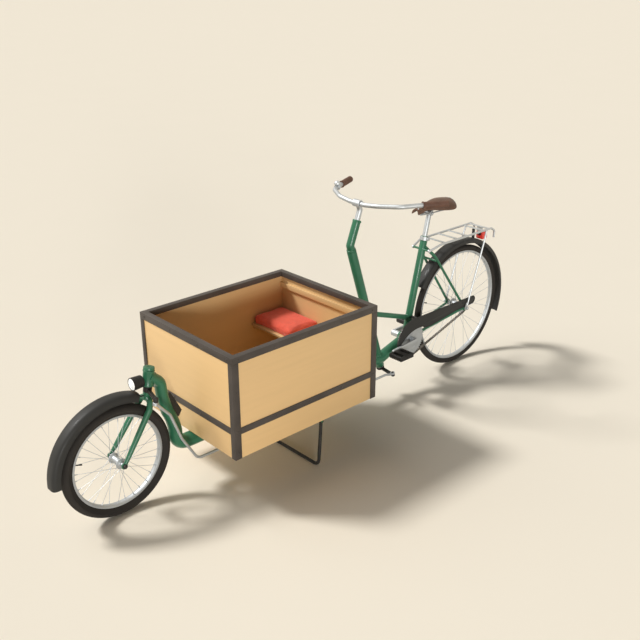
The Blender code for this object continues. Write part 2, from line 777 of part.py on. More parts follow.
def frame_tubes():
    """Every tube, bracket and lug that is welded into the main frame."""
    path, radii = down_tube_path()
    beam = tube("frame_tubes", path, BEAM_RADIUS, 4, radii)
    seat_top = Vector(SEAT_TUBE_TOP)
    members = [
        cylinder("shell", BB - SIDE * BB_SHELL_HALF, BB + SIDE * BB_SHELL_HALF, BB_SHELL_RADIUS, 16),
        cylinder("seat_tube", BB, seat_top, SEAT_TUBE_RADIUS, 16),
        cylinder("column_tube", column(COLUMN_FOOT), column(COLUMN_TOP), COLUMN_TUBE_RADIUS, 16),
        cylinder("head_tube", head(HEAD_TUBE_FOOT), head(HEAD_TUBE_TOP), HEAD_TUBE_RADIUS, 16),
        cylinder("brace", column(BRACE_FRONT_HEIGHT), seat_tube_point(BRACE_REAR_HEIGHT), BRACE_RADIUS, 10)]
    chain_stay = [BB + Vector((-0.004, 0.0255, 0)), BB + Vector((-0.125, 0.033, 0.020)),
                  REAR_AXLE + Vector((0.0135, STAY_END_Y, -0.0022))]
    for name, corners in (("chain_stay", chain_stay), ("seat_stay", seat_stay_corners())):
        path, radii = stay_path(corners)
        members.append(tube(name, path, STAY_RADIUS, 2, radii))
        members.append(tube(name, mirrored(path), STAY_RADIUS, 2, radii))
    shoulder, end = seat_stay_corners()[1:]
    along = (shoulder - end).normalized()
    bridge = REAR_AXLE + Vector((along.x, 0, along.z)).normalized() * BRIDGE_WHEEL_RADIUS
    members.append(cylinder("bridge", bridge - SIDE * 0.046, bridge + SIDE * 0.046, 0.006, 12))
    for side in (1, -1):
        inner = REAR_AXLE + SIDE * side * DROPOUT_Y
        outer = REAR_AXLE + SIDE * side * (DROPOUT_Y + DROPOUT_THICKNESS)
        members.append(cylinder("dropout", inner, outer, DROPOUT_RADIUS, 16))
    lug = seat_tube_point(0.752) + Vector((0.008, 0, 0))
    members.append(cylinder("rack_lug", lug - SIDE * RACK_LUG_Y, lug + SIDE * RACK_LUG_Y, 0.006, 12))
    bar_low = BEAM_HEIGHT + BEAM_RADIUS - 0.0025
    bar_high = BOX_FOOT - GAP
    for x in (REAR_CROSS_BAR_X, STAND_PIVOT_X, FRONT_CROSS_BAR_X):
        half = CROSS_BAR_WIDTH / 2
        members.append(box("cross_bar", (x - half, -CROSS_BAR_HALF, bar_low),
                           (x + half, CROSS_BAR_HALF, bar_high)))
    for side in (1, -1):
        pivot = Vector((STAND_PIVOT_X, 0, STAND_PIVOT_Z))
        ear = (side * (CROSS_BAR_HALF - 0.0065), side * (CROSS_BAR_HALF - 0.0005))
        members.append(box("ear", (STAND_PIVOT_X - 0.012, min(ear), STAND_PIVOT_Z - 0.012),
                           (STAND_PIVOT_X + 0.012, max(ear), bar_high - 0.001)))
        members.append(cylinder("pin", pivot + SIDE * side * (CROSS_BAR_HALF - 0.004),
                                pivot + SIDE * side * (STAND_LEG_Y + 0.009), STAND_PIN_RADIUS, 12))
    frame = fused(beam, *members)
    up_seat = (seat_top - BB).normalized()
    bores = [
        cylinder("bb_bore", BB - SIDE * 0.05, BB + SIDE * 0.05, SPINDLE_RADIUS + BORE_FIT, 16),
        cylinder("seat_bore", seat_tube_point(SEAT_POST_FOOT - SEAT_DROP - 0.01), seat_top + up_seat * 0.02,
                 SEAT_POST_RADIUS + BORE_FIT, 16),
        cylinder("column_bore", column(COLUMN_FOOT - 0.03), column(COLUMN_TOP + 0.03),
                 COLUMN_TUBE_RADIUS - 0.004, 16),
        cylinder("head_bore", head(HEAD_TUBE_FOOT - 0.03), head(HEAD_TUBE_TOP + 0.03), HEAD_BORE_RADIUS, 16),
        cylinder("axle_bore", REAR_AXLE - SIDE * 0.08, REAR_AXLE + SIDE * 0.08, AXLE_RADIUS + BORE_FIT, 16)]
    finish(cut(frame, *bores), "frame_tubes", GREEN_PAINT)


def down_tube_gusset():
    """The dark plate welded along the back of the curved down tube."""
    corners = ((0.258, 0.352), (0.213, 0.478), (0.276, 0.474), (0.326, 0.372), (0.310, 0.346))
    outline = [(WHEELBASE - back, height) for back, height in corners]
    plate = flat("down_tube_gusset", [outline], -0.003, 0.003)
    path, radii = down_tube_path()
    grown = tube("grown", path, BEAM_RADIUS + GAP, 4, [radius + GAP for radius in radii])
    finish(cut(plate, grown), "down_tube_gusset", BLACK_STEEL)


def bearing_rings():
    """Bearing cups at both ends of the head tube and of the rear column tube."""
    bore = STEERER_RADIUS + BORE_FIT
    foot = head(HEAD_TUBE_FOOT) - HEAD_AXIS * GAP
    top = head(HEAD_TUBE_TOP) + HEAD_AXIS * GAP
    lower = ring("cup", foot - HEAD_AXIS * CUP_HEIGHT, foot, HEAD_TUBE_RADIUS, bore)
    finish(lower, "headset_cup_lower", BLACK_STEEL)
    upper = ring("cup", top, top + HEAD_AXIS * CUP_HEIGHT, HEAD_TUBE_RADIUS, bore)
    finish(upper, "headset_cup_upper", BLACK_STEEL)
    foot = column(COLUMN_FOOT) - COLUMN_AXIS * GAP
    top = column(COLUMN_TOP) + COLUMN_AXIS * GAP
    radius = COLUMN_TUBE_RADIUS
    finish(ring("cup", foot - COLUMN_AXIS * CUP_HEIGHT, foot, radius, bore), "column_bearing_lower", SILVER)
    finish(ring("cup", top, top + COLUMN_AXIS * CUP_HEIGHT, radius, bore), "column_bearing_upper", SILVER)


# Fork and steering linkage

def fork():
    """Steerer, crown and two blades that lead straight to the front axle."""
    pivot = head(HEAD_Z)
    top = head(HEAD_TUBE_TOP) + HEAD_AXIS * (CUP_HEIGHT + 2 * GAP)
    steerer = cylinder("fork", head(CROWN_FOOT + 0.01), top + HEAD_AXIS * 0.002, STEERER_RADIUS, 20)
    crown = cylinder("crown", head(CROWN_FOOT), head(CROWN_TOP), CROWN_RADIUS, 20)
    cap = cylinder("cap", top, top + HEAD_AXIS * 0.007, HEAD_TUBE_RADIUS - 0.004, 20,
                   HEAD_TUBE_RADIUS - 0.007)
    members = [crown, cap]
    for side in (1, -1):
        end_y = side * (FORK_END_Y + FORK_END_THICKNESS / 2)
        shoulder = Vector((head(CROWN_FOOT).x + 0.004, side * 0.031, CROWN_FOOT + 0.003))
        knee = Vector((head(CROWN_FOOT).x + 0.016, side * BLADE_TOP_Y, CROWN_FOOT - 0.024))
        tip = FRONT_AXLE + Vector((-0.0062, end_y, 0.0084))
        path = rounded([head(CROWN_FOOT + 0.012), shoulder, knee, tip], 0.02, 2)
        last = len(path) - 1
        radii = [BLADE_RADIUS + (BLADE_TIP_RADIUS - BLADE_RADIUS) * max(0, i / last - 0.4)
                 for i in range(last)]
        radii.append(BLADE_TIP_RADIUS - 0.001)
        members.append(tube("blade", path, BLADE_RADIUS, 3, radii))
        inner = FRONT_AXLE + SIDE * side * FORK_END_Y
        outer = FRONT_AXLE + SIDE * side * (FORK_END_Y + FORK_END_THICKNESS)
        members.append(cylinder("fork_end", inner, outer, FORK_END_RADIUS, 14))
    bore = cylinder("bore", FRONT_AXLE - SIDE * 0.1, FRONT_AXLE + SIDE * 0.1, AXLE_RADIUS + BORE_FIT, 16)
    finish(cut(fused(steerer, *members), bore), "fork", GREEN_PAINT, pivot)


def arm_end(centre, axis, length, sweep):
    """Where a swept steering arm ends, in the plane square to its axis."""
    forward = Vector((axis.z, 0, -axis.x))
    return centre + (forward * sin(sweep) + SIDE * cos(sweep)) * length


def fork_arm():
    """The front steering arm: a deep flat bar clamped on the steerer, with a pin under its end."""
    half = FORK_ARM_DEPTH / 2
    centre = head(FORK_ARM_HEIGHT)
    end = arm_end(centre, HEAD_AXIS, FORK_ARM_LENGTH, FORK_ARM_SWEEP)
    clamp = cylinder("fork_arm", centre - HEAD_AXIS * half, centre + HEAD_AXIS * half, 0.0185, 20)
    along = (end - centre).normalized()
    across = HEAD_AXIS.cross(along)
    bar = box("bar", (0.010, -0.006, -half + 0.0004), (FORK_ARM_LENGTH, 0.006, half - 0.0004))
    turn = Matrix((along, across, HEAD_AXIS)).transposed().to_4x4()
    bar.data.transform(Matrix.Translation(centre) @ turn)
    boss = cylinder("boss", end - HEAD_AXIS * half, end + HEAD_AXIS * half, 0.0105, 16)
    eye_foot = end - HEAD_AXIS * (half + ROD_EYE_FIT + ROD_EYE_DEPTH)
    pin = cylinder("pin", eye_foot - HEAD_AXIS * 0.001, end, ARM_PIN_RADIUS, 12)
    arm = fused(clamp, bar, boss, pin)
    bore = cylinder("bore", centre - HEAD_AXIS * 0.02, centre + HEAD_AXIS * 0.02,
                    STEERER_RADIUS + BORE_FIT, 20)
    finish(cut(arm, bore), "fork_arm", BLACK_STEEL, head(HEAD_Z))


def front_eye_centre():
    """Centre of the rod's front eye, under the end of the front arm."""
    end = arm_end(head(FORK_ARM_HEIGHT), HEAD_AXIS, FORK_ARM_LENGTH, FORK_ARM_SWEEP)
    return end - HEAD_AXIS * (FORK_ARM_DEPTH / 2 + ROD_EYE_FIT + ROD_EYE_DEPTH / 2)


def rear_arm_centre():
    """Centre of the rear arm's clamp, under the lower column bearing."""
    return column(COLUMN_FOOT) - COLUMN_AXIS * (CUP_HEIGHT + 2 * GAP + 0.006)


def rear_boss_centre():
    """Centre of the boss at the end of the rear arm."""
    end = arm_end(rear_arm_centre(), COLUMN_AXIS, REAR_ARM_LENGTH, REAR_ARM_SWEEP)
    return end + COLUMN_AXIS * REAR_ARM_RISE


def rear_eye_centre():
    """Centre of the rod's rear eye, on top of the rear arm's boss."""
    return rear_boss_centre() + ROD_HINGE * (0.005 + GAP + ROD_REAR_EYE_DEPTH / 2)


def rear_arm():
    """The rear steering arm: clamped under the column and cranked up past the beam to the rod."""
    centre = rear_arm_centre()
    boss = rear_boss_centre()
    out = (arm_end(centre, COLUMN_AXIS, REAR_ARM_LENGTH, REAR_ARM_SWEEP) - centre).normalized()
    clamp = cylinder("rear_arm", centre - COLUMN_AXIS * 0.006, centre + COLUMN_AXIS * 0.006,
                     ARM_CLAMP_RADIUS, 20)
    boss_low = boss - ROD_HINGE * 0.0015
    path = rounded([centre + out * 0.015, centre + out * 0.050, boss_low - out * 0.030, boss_low], 0.03, 3)
    bar = tube("bar", path, REAR_ARM_RADIUS, 2)
    knob = cylinder("knob", boss - ROD_HINGE * 0.005, boss + ROD_HINGE * 0.005, 0.0095, 14)
    eye_top = boss + ROD_HINGE * (0.005 + GAP + ROD_REAR_EYE_DEPTH + GAP)
    pin = cylinder("pin", boss, eye_top + ROD_HINGE * 0.001, ARM_PIN_RADIUS, 12)
    button = cylinder("button", eye_top, eye_top + ROD_HINGE * 0.003, 0.0072, 12)
    arm = fused(clamp, bar, knob, pin, button)
    past = COLUMN_AXIS * 0.02
    bore = cylinder("bore", centre - past, centre + past, STEERER_RADIUS + BORE_FIT, 20)
    finish(cut(arm, bore), "rear_arm", BLACK_STEEL, column(COLUMN_TOP))


def steering_rod():
    """The long rod under the box, with an eye for each arm's pin."""
    rear = rear_eye_centre()
    front = front_eye_centre()
    low = Vector((WHEELBASE - 0.316, 0.118, ROD_HEIGHT))
    level = ROD_HINGE.cross(SIDE).normalized() * -0.011
    corners = [rear + level, Vector((rear.x + 0.055, 0.119, ROD_HEIGHT)), low,
               Vector(ROD_RISE_LOW), Vector(ROD_RISE_HIGH), front - Vector((0.006, 0, 0.006))]
    rod = tube("steering_rod", rounded(corners, 0.045, 3), ROD_RADIUS, 2)
    half = ROD_HINGE * ROD_REAR_EYE_DEPTH / 2
    rear_eye = cylinder("eye", rear - half, rear + half, 0.0115, 18)
    half = HEAD_AXIS * ROD_EYE_DEPTH / 2
    front_eye = cylinder("eye", front - half, front + half, 0.0115, 18)
    rod = fused(rod, rear_eye, front_eye)
    rear_bore = cylinder("bore", rear - ROD_HINGE * 0.02, rear + ROD_HINGE * 0.02,
                         ARM_PIN_RADIUS + BORE_FIT, 12)
    open_radius = ARM_PIN_RADIUS + ROD_OPEN_FIT
    front_bore = cylinder("bore", front - HEAD_AXIS * 0.02, front + HEAD_AXIS * 0.02, open_radius, 12)
    finish(cut(rod, rear_bore, front_bore), "steering_rod", SILVER, rear)


def steering_column():
    """The turning column: a steerer inside the frame's tube and a bent riser above it."""
    foot = rear_arm_centre() - COLUMN_AXIS * 0.008
    start = column(COLUMN_TOP) + COLUMN_AXIS * (CUP_HEIGHT + 2 * GAP)
    steerer = cylinder("steering_column", foot, start + COLUMN_AXIS * 0.01, STEERER_RADIUS, 20)
    top = Vector(RISER_TOP)
    bend = start + COLUMN_AXIS * 0.024
    riser = tube("riser", rounded([start, bend, top], 0.05, 5), RISER_RADIUS, 4)
    out = (top - bend).normalized()
    bore = cylinder("bore", top - out * (STEM_DEPTH + 0.015), top + out * 0.02, STEM_RADIUS + BORE_FIT, 18)
    finish(cut(fused(steerer, riser), bore), "steering_column", GREEN_PAINT, column(COLUMN_TOP))
    return out


def stem(slide):
    """The silver stem: a quill in the riser and a clamp round the handlebar."""
    top = Vector(RISER_TOP)
    clamp = Vector(STEM_CLAMP)
    path = rounded([top - slide * STEM_DEPTH, top + slide * 0.056, clamp], 0.03, 5)
    quill = tube("stem", path, STEM_RADIUS, 3)
    half = SIDE * 0.0225
    head_ring = cylinder("clamp", clamp - half, clamp + half, STEM_CLAMP_RADIUS, 20)
    bore = cylinder("bore", clamp - half * 2, clamp + half * 2, BAR_RADIUS + BAR_FIT, 20)
    finish(cut(fused(quill, head_ring), bore), "stem", SILVER, top)


def handlebar_corners():
    """Left half of the handlebar's bends, from its middle to its end."""
    middle = Vector(STEM_CLAMP)
    bends = [Vector(bend) for bend in BAR_BENDS]
    return [middle + SIDE * 0.048, *bends, Vector(BAR_END)]


def handlebar():
    """The swept handlebar, its two grips and the bell by the right grip."""
    pivot = Vector(RISER_TOP)
    left = handlebar_corners()
    corners = list(reversed(mirrored(left))) + left
    bar = tube("handlebar", rounded(corners, 0.07, 3), BAR_RADIUS, 2)
    finish(bar, "handlebar", SILVER, pivot)
    out = (left[-1] - left[-2]).normalized()
    bore = BAR_RADIUS + BAR_FIT
    blind_end = GRIP_LENGTH - 0.004
    profile = [(0, GRIP_LENGTH), (GRIP_RADIUS * 0.95, GRIP_LENGTH), (GRIP_RADIUS * 1.05, blind_end),
               (GRIP_RADIUS * 0.96, GRIP_LENGTH - 0.014), (GRIP_RADIUS * 1.03, 0.060),
               (GRIP_RADIUS * 0.92, 0.007), (GRIP_RADIUS * 1.12, 0.004), (GRIP_RADIUS * 1.12, 0),
               (bore, 0), (bore, blind_end), (0, blind_end)]
    start = left[-1] - out * (GRIP_LENGTH - 0.004 - GAP)
    finish(turned("grip", profile, start, out, 14, closed=False), "grip_left", BROWN_LEATHER, pivot)
    start_right, out_right = mirrored([start, out])
    right = turned("grip", profile, start_right, out_right, 14, closed=False)
    finish(right, "grip_right", BROWN_LEATHER, pivot)
    before, after = mirrored(left[2:4])
    place = before.lerp(after, 0.5)
    along = (after - before).normalized()
    band = cylinder("bell", place - along * 0.004, place + along * 0.004, BAR_RADIUS + 0.005, 16)
    dome_profile = [(0, BELL_RADIUS * 0.85), (BELL_RADIUS * 0.5, BELL_RADIUS * 0.72),
                    (BELL_RADIUS * 0.88, BELL_RADIUS * 0.38), (BELL_RADIUS, 0), (BELL_RADIUS * 0.9, -0.003),
                    (0, -0.003)]
    dome = turned("dome", dome_profile, place + UP * 0.0185, UP, 16, closed=False)
    bore_cut = cylinder("bore", place - along * 0.02, place + along * 0.02, BAR_RADIUS + BAR_FIT, 16)
    finish(cut(fused(band, dome), bore_cut), "bell", SILVER, pivot)


# Fenders

def fender(name, axle, crown, edge, half_width, start, end, steps):
    """A half-round sheet swept round a wheel."""
    section = []
    for i in range(7):
        turn = pi * i / 6
        section.append((edge + (crown - edge - FENDER_SHEET) * sin(turn), -half_width * cos(turn)))
    mesh = bpy.data.meshes.new(name)
    mesh.from_pydata([(r, 0, h) for r, h in section], [(i, i + 1) for i in range(6)], [])
    thing = new_object(name, mesh)
    screw = thing.modifiers.new("sweep", "SCREW")
    screw.angle = end - start
    screw.steps = steps
    screw.render_steps = steps
    screw.use_merge_vertices = False
    sheet = thing.modifiers.new("sheet", "SOLIDIFY")
    sheet.thickness = FENDER_SHEET
    sheet.offset = 0
    x_axis = Vector((cos(start), 0, sin(start)))
    y_axis = Vector((-sin(start), 0, cos(start)))
    turn = Matrix((x_axis, y_axis, -SIDE)).transposed().to_4x4()
    thing.matrix_world = Matrix.Translation(axle) @ turn
    return settled(thing)


def front_fender():
    """The front fender, with the tab that holds it to the fork crown."""
    shell = fender("front_fender", FRONT_AXLE, FRONT_FENDER_CROWN, FRONT_FENDER_EDGE,
                   FRONT_FENDER_HALF_WIDTH, FRONT_FENDER_START, FRONT_FENDER_END, 14)
    reach = FRONT_FENDER_CROWN - FENDER_SHEET
    grip_angle = FRONT_FENDER_END - radians(1.2)
    start = FRONT_AXLE + Vector((cos(grip_angle), 0, sin(grip_angle))) * reach
    seat_height = CROWN_TOP - 0.012
    seat = head(seat_height) + Vector((CROWN_RADIUS + GAP, 0, 0))
    path = rounded([start, seat + Vector((0.014, 0, 0.001)), seat + Vector((0.0008, 0, 0))], 0.008, 3)
    tab = tube("tab", path, 0.0035, 2)
    finish(fused(shell, tab), "front_fender", FENDER_PAINT, head(HEAD_Z))


def rear_fender():
    """The rear fender, with straps to the seat stay bridge and to a rack bar."""
    shell = fender("rear_fender", REAR_AXLE, REAR_FENDER_CROWN, REAR_FENDER_EDGE,
                   REAR_FENDER_HALF_WIDTH, REAR_FENDER_START, REAR_FENDER_END, 20)
    bar_x = rack_bar_places()[3]
    height = (REAR_FENDER_CROWN ** 2 - bar_x ** 2) ** 0.5
    strap = box("strap", (bar_x - 0.006, -0.006, REAR_AXLE.z + height - 0.004),
                (bar_x + 0.006, 0.006, RACK_HEIGHT - RACK_BAR_RADIUS - GAP))
    shoulder, end = seat_stay_corners()[1:]
    along = (shoulder - end)
    along = Vector((along.x, 0, along.z)).normalized()
    foot = REAR_AXLE + along * (REAR_FENDER_CROWN - 0.003)
    peg = cylinder("peg", foot, REAR_AXLE + along * (BRIDGE_WHEEL_RADIUS - 0.006 - GAP), 0.006, 12)
    finish(fused(shell, strap, peg), "rear_fender", FENDER_PAINT)


# Box

def box_shell():
    """Wooden panels and floor inside a steel angle frame."""
    inset = STEEL + GAP
    rear = BOX_REAR + inset
    front = BOX_FRONT - inset
    side = BOX_HALF_WIDTH - inset
    top = BOX_TOP - STEEL - GAP
    inner = side - PLY - GAP
    finish(box("p", (rear, side - PLY, BOX_FOOT), (front, side, top)), "box_panel_left", PLYWOOD)
    finish(box("p", (rear, -side, BOX_FOOT), (front, PLY - side, top)), "box_panel_right", PLYWOOD)
    finish(box("p", (front - PLY, -inner, BOX_FOOT), (front, inner, top)), "box_panel_front", PLYWOOD)
    finish(box("p", (rear, -inner, BOX_FOOT), (rear + PLY, inner, top)), "box_panel_rear", PLYWOOD)
    in_rear = rear + PLY + GAP
    in_front = front - PLY - GAP
    finish(box("p", (in_rear, -inner, BOX_FOOT), (in_front, inner, BOX_FOOT + PLY)), "box_floor", PLYWOOD)
    bench_front = in_rear + BENCH_DEPTH
    board = box("bench_board", (in_rear, -inner, BENCH_TOP - PLY), (bench_front, inner, BENCH_TOP))
    batten_low = BENCH_TOP - PLY - BATTEN
    battens = []
    for sign in (1, -1):
        ends = (sign * inner, sign * (inner - BATTEN))
        battens.append(box("batten", (in_rear + 0.001, min(ends), batten_low),
                           (bench_front - 0.010, max(ends), BENCH_TOP - PLY + 0.001)))
    finish(fused(board, *battens), "bench_board", PLYWOOD)
    ledge = box("ledge", (in_rear, -inner, LEDGE_LOW), (in_rear + LEDGE_DEPTH, inner, LEDGE_HIGH))
    finish(eased(ledge, 0.003), "backrest_ledge", PLYWOOD)


def box_steel():
    """Corner posts, the angle round the top and the flat straps at mid height."""
    low = (BOX_REAR, -BOX_HALF_WIDTH, BOX_TOP - RIM_HEIGHT)
    high = (BOX_FRONT, BOX_HALF_WIDTH, BOX_TOP)
    frame = eased(box("box_top_rim", low, high), 0.002, 1)
    wall = Vector((STEEL, STEEL, 0))
    pocket = box("pocket", Vector(low) + wall - UP * 0.01, Vector(high) - wall - UP * STEEL)
    lip = Vector((RIM_WIDTH, RIM_WIDTH, 0))
    mouth = box("mouth", Vector(low) + lip - UP * 0.01, Vector(high) - lip + UP * 0.01)
    finish(cut(frame, pocket, mouth), "box_top_rim", BLACK_STEEL)
    post_top = BOX_TOP - RIM_HEIGHT - GAP
    for along_name, x, inward in (("front", BOX_FRONT, -1), ("rear", BOX_REAR, 1)):
        for side_name, side in (("left", 1), ("right", -1)):
            y = side * BOX_HALF_WIDTH
            outline = [(x, y), (x + inward * POST_X, y), (x + inward * POST_X, y - side * STEEL),
                       (x + inward * STEEL, y - side * STEEL), (x + inward * STEEL, y - side * POST_Y),
                       (x, y - side * POST_Y)]
            post = flat("post", [outline], BOX_FOOT, post_top, upright=False)
            finish(post, f"box_post_{along_name}_{side_name}", BLACK_STEEL)
    for side_name, side in (("left", 1), ("right", -1)):
        ends = (side * BOX_HALF_WIDTH, side * (BOX_HALF_WIDTH - STEEL))
        strap = box("strap", (BOX_REAR + POST_X + GAP, min(ends), MID_RAIL_LOW),
                    (BOX_FRONT - POST_X - GAP, max(ends), MID_RAIL_HIGH))
        finish(strap, f"box_mid_rail_{side_name}", BLACK_STEEL)
    half = BOX_HALF_WIDTH - POST_Y - GAP
    strap = box("strap", (BOX_FRONT - STEEL, -half, MID_RAIL_LOW), (BOX_FRONT, half, MID_RAIL_HIGH))
    finish(strap, "box_mid_rail_front", BLACK_STEEL)


def seat_cushion():
    """The bench cushion: crowned top, flat underside and sides drawn in at top and bottom."""
    inner = BOX_HALF_WIDTH - STEEL - PLY - 2 * GAP
    low = Vector((BOX_REAR + STEEL + PLY + 3 * GAP + 0.001, -inner + 0.001, BENCH_TOP + GAP))
    size = Vector((CUSHION_DEPTH, CUSHION_WIDTH, CUSHION_THICKNESS - CUSHION_CROWN))
    bm = bmesh.new()
    bmesh.ops.create_cube(bm, size=2)
    bmesh.ops.subdivide_edges(bm, edges=bm.edges, cuts=2, use_grid_fill=True)
    for vert in bm.verts:
        u, v, w = vert.co
        draw = 1 - 0.035 * w ** 2
        crown = CUSHION_CROWN * (1 - u ** 2) * (1 - v ** 2) if w > 0.9 else 0
        place = Vector(((1 + u * draw) / 2, (1 + v * draw) / 2, (1 + w) / 2))
        vert.co = Vector(a * b for a, b in zip(place, size)) + low + UP * crown
    cushion = from_bmesh("seat_cushion", bm)
    soft = cushion.modifiers.new("soft", "SUBSURF")
    soft.levels = 1
    soft.render_levels = 1
    finish(settled(cushion), "seat_cushion", CUSHION_CLOTH)


# Seat, rack and stand

def saddle():
    """The saddle: an arched shell that narrows to its nose."""
    bm = bmesh.new()
    bmesh.ops.create_grid(bm, x_segments=6, y_segments=4, size=1)
    for vert in bm.verts:
        along = (1 + vert.co.x) / 2
        narrowing = min(1, max(0, along - 0.18) / 0.52) ** 1.2
        half_width = SADDLE_HALF_WIDTH * min(1, 0.72 + 1.9 * along)
        half_width -= (SADDLE_HALF_WIDTH - SADDLE_NOSE_HALF_WIDTH) * narrowing
        depth = 0.048 - 0.018 * along
        top = SADDLE_TOP - 0.016 * along + 0.012 * (2 * along - 1) ** 2 - 0.006
        arch = vert.co.y * pi / 2
        vert.co = Vector((SADDLE_REAR + SADDLE_LENGTH * along, half_width * sin(arch),
                          top - depth * (1 - cos(arch))))
    mesh = bpy.data.meshes.new("saddle")
    bm.to_mesh(mesh)
    bm.free()
    shell = new_object("saddle", mesh)
    soft = shell.modifiers.new("soft", "SUBSURF")
    soft.levels = 1
    soft.render_levels = 1
    wall = shell.modifiers.new("wall", "SOLIDIFY")
    wall.thickness = SADDLE_SHELL
    wall.offset = -1
    shell = settled(shell)
    return finish(shell, "saddle", BROWN_LEATHER, seat_tube_point(SEAT_POST_TOP))


def seat_post(saddle_shell):
    """The seat post, its clamp head and the two wires that carry the saddle."""
    top = seat_tube_point(SEAT_POST_TOP)
    post = cylinder("seat_post", seat_tube_point(SEAT_POST_FOOT), top, SEAT_POST_RADIUS, 16)
    clamp = cylinder("clamp", top - SIDE * 0.018, top + SIDE * 0.018, 0.0135, 16)
    surface = BVHTree.FromPolygons([v.co + saddle_shell.location for v in saddle_shell.data.vertices],
                                   [list(p.vertices) for p in saddle_shell.data.polygons])
    wires = []
    for side in (1, -1):
        rear = Vector((SADDLE_REAR + 0.045, side * 0.024, top.z - 0.03))
        nose = Vector((SADDLE_REAR + SADDLE_LENGTH - 0.030, side * 0.006, top.z - 0.03))
        ends = []
        for end in (rear, nose):
            ceiling = min(surface.ray_cast(end + Vector((dx, dy, 0)), UP)[0].z
                          for dx in (-RAIL_RADIUS, 0, RAIL_RADIUS) for dy in (-RAIL_RADIUS, 0, RAIL_RADIUS))
            ends.append(Vector((end.x, end.y, ceiling - GAP)))
        corners = [ends[0], Vector((ends[0].x, ends[0].y, top.z + 0.002)),
                   Vector((top.x - 0.03, side * 0.0150, top.z)), Vector((top.x + 0.01, side * 0.0140, top.z)),
                   Vector((ends[1].x, ends[1].y, top.z + 0.003)), ends[1]]
        wires.append(tube("wire", rounded(corners, 0.010, 2), RAIL_RADIUS, 1))
    finish(fused(post, clamp, *wires), "seat_post", SILVER, top)
    seat_top = Vector(SEAT_TUBE_TOP)
    up = (seat_top - BB).normalized()
    collar = ring("collar", seat_top - up * 0.022, seat_top - up * 0.002, SEAT_TUBE_RADIUS + 0.0045,
                  SEAT_TUBE_RADIUS + BORE_FIT, 16)
    finish(collar, "seat_clamp", SILVER)


def rack_bar_places():
    """Where the rack's cross bars lie along it."""
    return [0.210, 0.110, 0.026, -0.114, -0.165]


def rear_rack():
    """The rear rack: two bent side wires, cross bars, and legs that stand on the rear axle."""
    lug = seat_tube_point(0.752) + Vector((0.008, 0, 0))
    front = lug + SIDE * (RACK_LUG_Y + GAP + RACK_RADIUS + 0.0005)
    side_corners = [front, Vector((RACK_FRONT, RACK_HALF_WIDTH, RACK_HEIGHT)),
                    Vector((RACK_REAR - 0.010, RACK_HALF_WIDTH, RACK_HEIGHT)),
                    Vector((RACK_REAR - 0.040, RACK_HALF_WIDTH, RACK_HEIGHT - 0.018)),
                    Vector((RACK_REAR - 0.040, RACK_HALF_WIDTH, RACK_HEIGHT - 0.058))]
    side_path = rounded(side_corners, 0.018, 2)
    leg_y = RACK_FOOT_Y + 0.0045
    leg_corners = [Vector((-0.140, RACK_HALF_WIDTH, RACK_HEIGHT)),
                   Vector((-0.125, leg_y, RACK_HEIGHT - 0.04)), Vector((-0.010, leg_y, 0.385)),
                   Vector((-0.004, leg_y, 0.367))]
    leg_path = rounded(leg_corners, 0.02, 2)
    rack = tube("rear_rack", side_path, RACK_RADIUS, 1)
    members = [tube("side", mirrored(side_path), RACK_RADIUS, 1), tube("leg", leg_path, 0.005, 1),
               tube("leg", mirrored(leg_path), 0.005, 1)]
    for x in rack_bar_places():
        half = RACK_HALF_WIDTH
        members.append(cylinder("bar", (x, -half, RACK_HEIGHT), (x, half, RACK_HEIGHT), RACK_BAR_RADIUS, 6))
    for side in (1, -1):
        eye_ends = (side * (RACK_LUG_Y + GAP), side * (RACK_LUG_Y + GAP + 0.008))
        members.append(cylinder("eye", lug + SIDE * eye_ends[0], lug + SIDE * eye_ends[1], 0.0085, 12))
        foot_ends = (side * RACK_FOOT_Y, side * (RACK_FOOT_Y + 0.004))
        outline = arc(REAR_AXLE, 0.013, radians(180), radians(360), 8)
        top = REAR_AXLE + Vector((-0.003, 0, 0.024))
        outline += arc(top, 0.008, 0, radians(180), 6)
        members.append(flat("foot", [outline], min(foot_ends), max(foot_ends)))
    tail_x = rack_bar_places()[-1]
    members.append(box("tab", (tail_x - 0.016, -0.014, TAIL_LAMP_TOP + GAP),
                       (tail_x + 0.002, 0.014, RACK_HEIGHT - 0.001)))
    rack = fused(rack, *members)
    bore = cylinder("bore", REAR_AXLE - SIDE * 0.1, REAR_AXLE + SIDE * 0.1, AXLE_RADIUS + BORE_FIT, 16)
    finish(cut(rack, bore), "rear_rack", SILVER)


